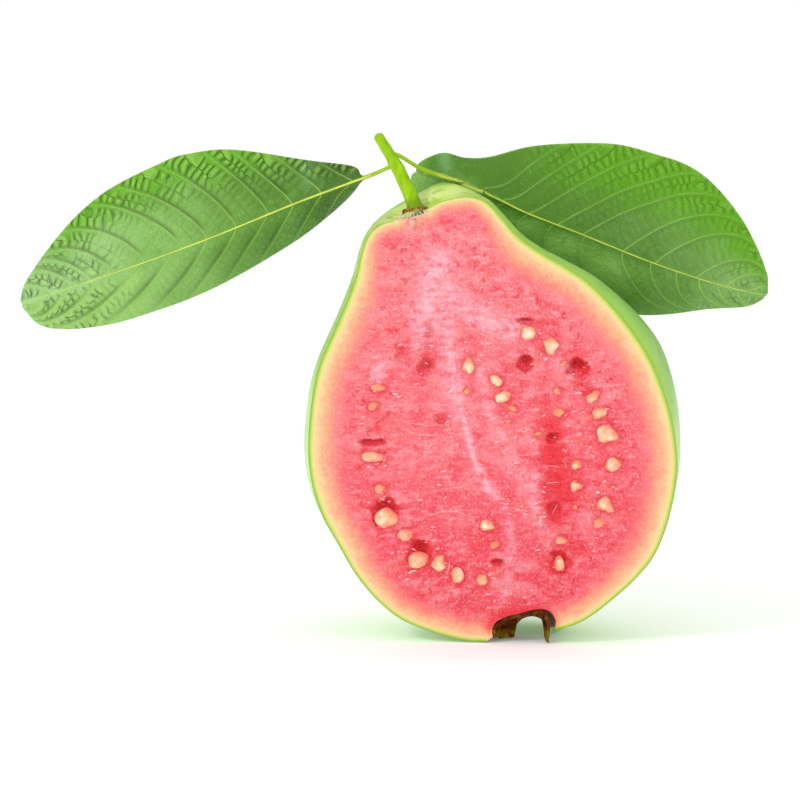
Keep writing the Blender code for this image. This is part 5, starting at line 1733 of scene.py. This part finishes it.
class GuavaColours(bpy.types.PropertyGroup):
    """Colours that a user may change."""
    pulp: colour_setting("Pulp", "Pink of the pulp's middle", 255, 92, 110)
    pulp_edge: colour_setting("Outer pulp", "Pink of the outer pulp", 254, 116, 116)
    deep: colour_setting("Deep pulp", "Red inside the hollows", 240, 4, 36)
    seed: colour_setting("Seed", "Cream of the seed coat", 251, 192, 142)
    skin: colour_setting("Skin", "Green of the skin's back", 150, 208, 84)
    stem: colour_setting("Stem", "Green of the stem", 148, 196, 0)
    vein: colour_setting("Vein", "Light green of the side veins", 172, 212, 98)
    midrib: colour_setting("Midrib", "Yellow-green of the midribs", 226, 240, 92)


class GUAVA_OT_fruit(bpy.types.Operator):
    """Build the skin, the pulp and its juice"""
    bl_idname = "guava.fruit"
    bl_label = "Fruit"

    def execute(self, context):
        build_fruit(context.scene.guava_sizes, context.scene.guava_colours)
        return {"FINISHED"}


class GUAVA_OT_seeds(bpy.types.Operator):
    """Build the seeds and the threads between them"""
    bl_idname = "guava.seeds"
    bl_label = "Seeds"

    def execute(self, context):
        build_seeds(context.scene.guava_sizes, context.scene.guava_colours)
        return {"FINISHED"}


class GUAVA_OT_calyx(bpy.types.Operator):
    """Build the dry calyx"""
    bl_idname = "guava.calyx"
    bl_label = "Calyx"

    def execute(self, context):
        build_calyx()
        return {"FINISHED"}


class GUAVA_OT_stem(bpy.types.Operator):
    """Build the stem and the scar round its foot"""
    bl_idname = "guava.stem"
    bl_label = "Stem"

    def execute(self, context):
        build_stem(context.scene.guava_colours)
        build_scar()
        return {"FINISHED"}


class GUAVA_OT_leaves(bpy.types.Operator):
    """Build both leaves with their veins"""
    bl_idname = "guava.leaves"
    bl_label = "Leaves"

    def execute(self, context):
        sizes, colours = context.scene.guava_sizes, context.scene.guava_colours
        left = leaf_material("guava_leaf_left", LEFT_GREENS, (104, 178, 30))
        right = leaf_material("guava_leaf_right", RIGHT_GREENS, (92, 164, 4))
        build_leaf("leaf_left", LEFT_LEAF, left, colours, sizes)
        build_leaf("leaf_right", RIGHT_LEAF, right, colours, sizes)
        return {"FINISHED"}


class GUAVA_OT_stage(bpy.types.Operator):
    """Build the floor, the lights and the camera"""
    bl_idname = "guava.stage"
    bl_label = "Stage"

    def execute(self, context):
        white_floor()
        soft_world()
        lamps()
        camera()
        return {"FINISHED"}


OPERATORS = (GUAVA_OT_fruit, GUAVA_OT_seeds, GUAVA_OT_calyx, GUAVA_OT_stem, GUAVA_OT_leaves, GUAVA_OT_stage)


class GUAVA_PT_panel(bpy.types.Panel):
    """Buttons for each piece, with its sizes and colours"""
    bl_label = "Guava half"
    bl_idname = "GUAVA_PT_panel"
    bl_space_type = "VIEW_3D"
    bl_region_type = "UI"
    bl_category = "Guava"

    def draw(self, context):
        for group in (context.scene.guava_sizes, context.scene.guava_colours):
            for label in group.__annotations__:
                self.layout.prop(group, label)
        for operator in OPERATORS:
            self.layout.operator(operator.bl_idname)


CLASSES = (GuavaSizes, GuavaColours, *OPERATORS, GUAVA_PT_panel)


def register():
    """Make the settings, the operators and the panel known."""
    for item in CLASSES:
        bpy.utils.register_class(item)
    bpy.types.Scene.guava_sizes = PointerProperty(type=GuavaSizes)
    bpy.types.Scene.guava_colours = PointerProperty(type=GuavaColours)


def unregister():
    """Take the settings, the operators and the panel away again."""
    del bpy.types.Scene.guava_colours
    del bpy.types.Scene.guava_sizes
    for item in reversed(CLASSES):
        bpy.utils.unregister_class(item)


def main():
    """Build every piece and the stage."""
    register()
    bpy.ops.guava.fruit()
    bpy.ops.guava.seeds()
    bpy.ops.guava.calyx()
    bpy.ops.guava.stem()
    bpy.ops.guava.leaves()
    bpy.ops.guava.stage()


if __name__ == "__main__":
    main()
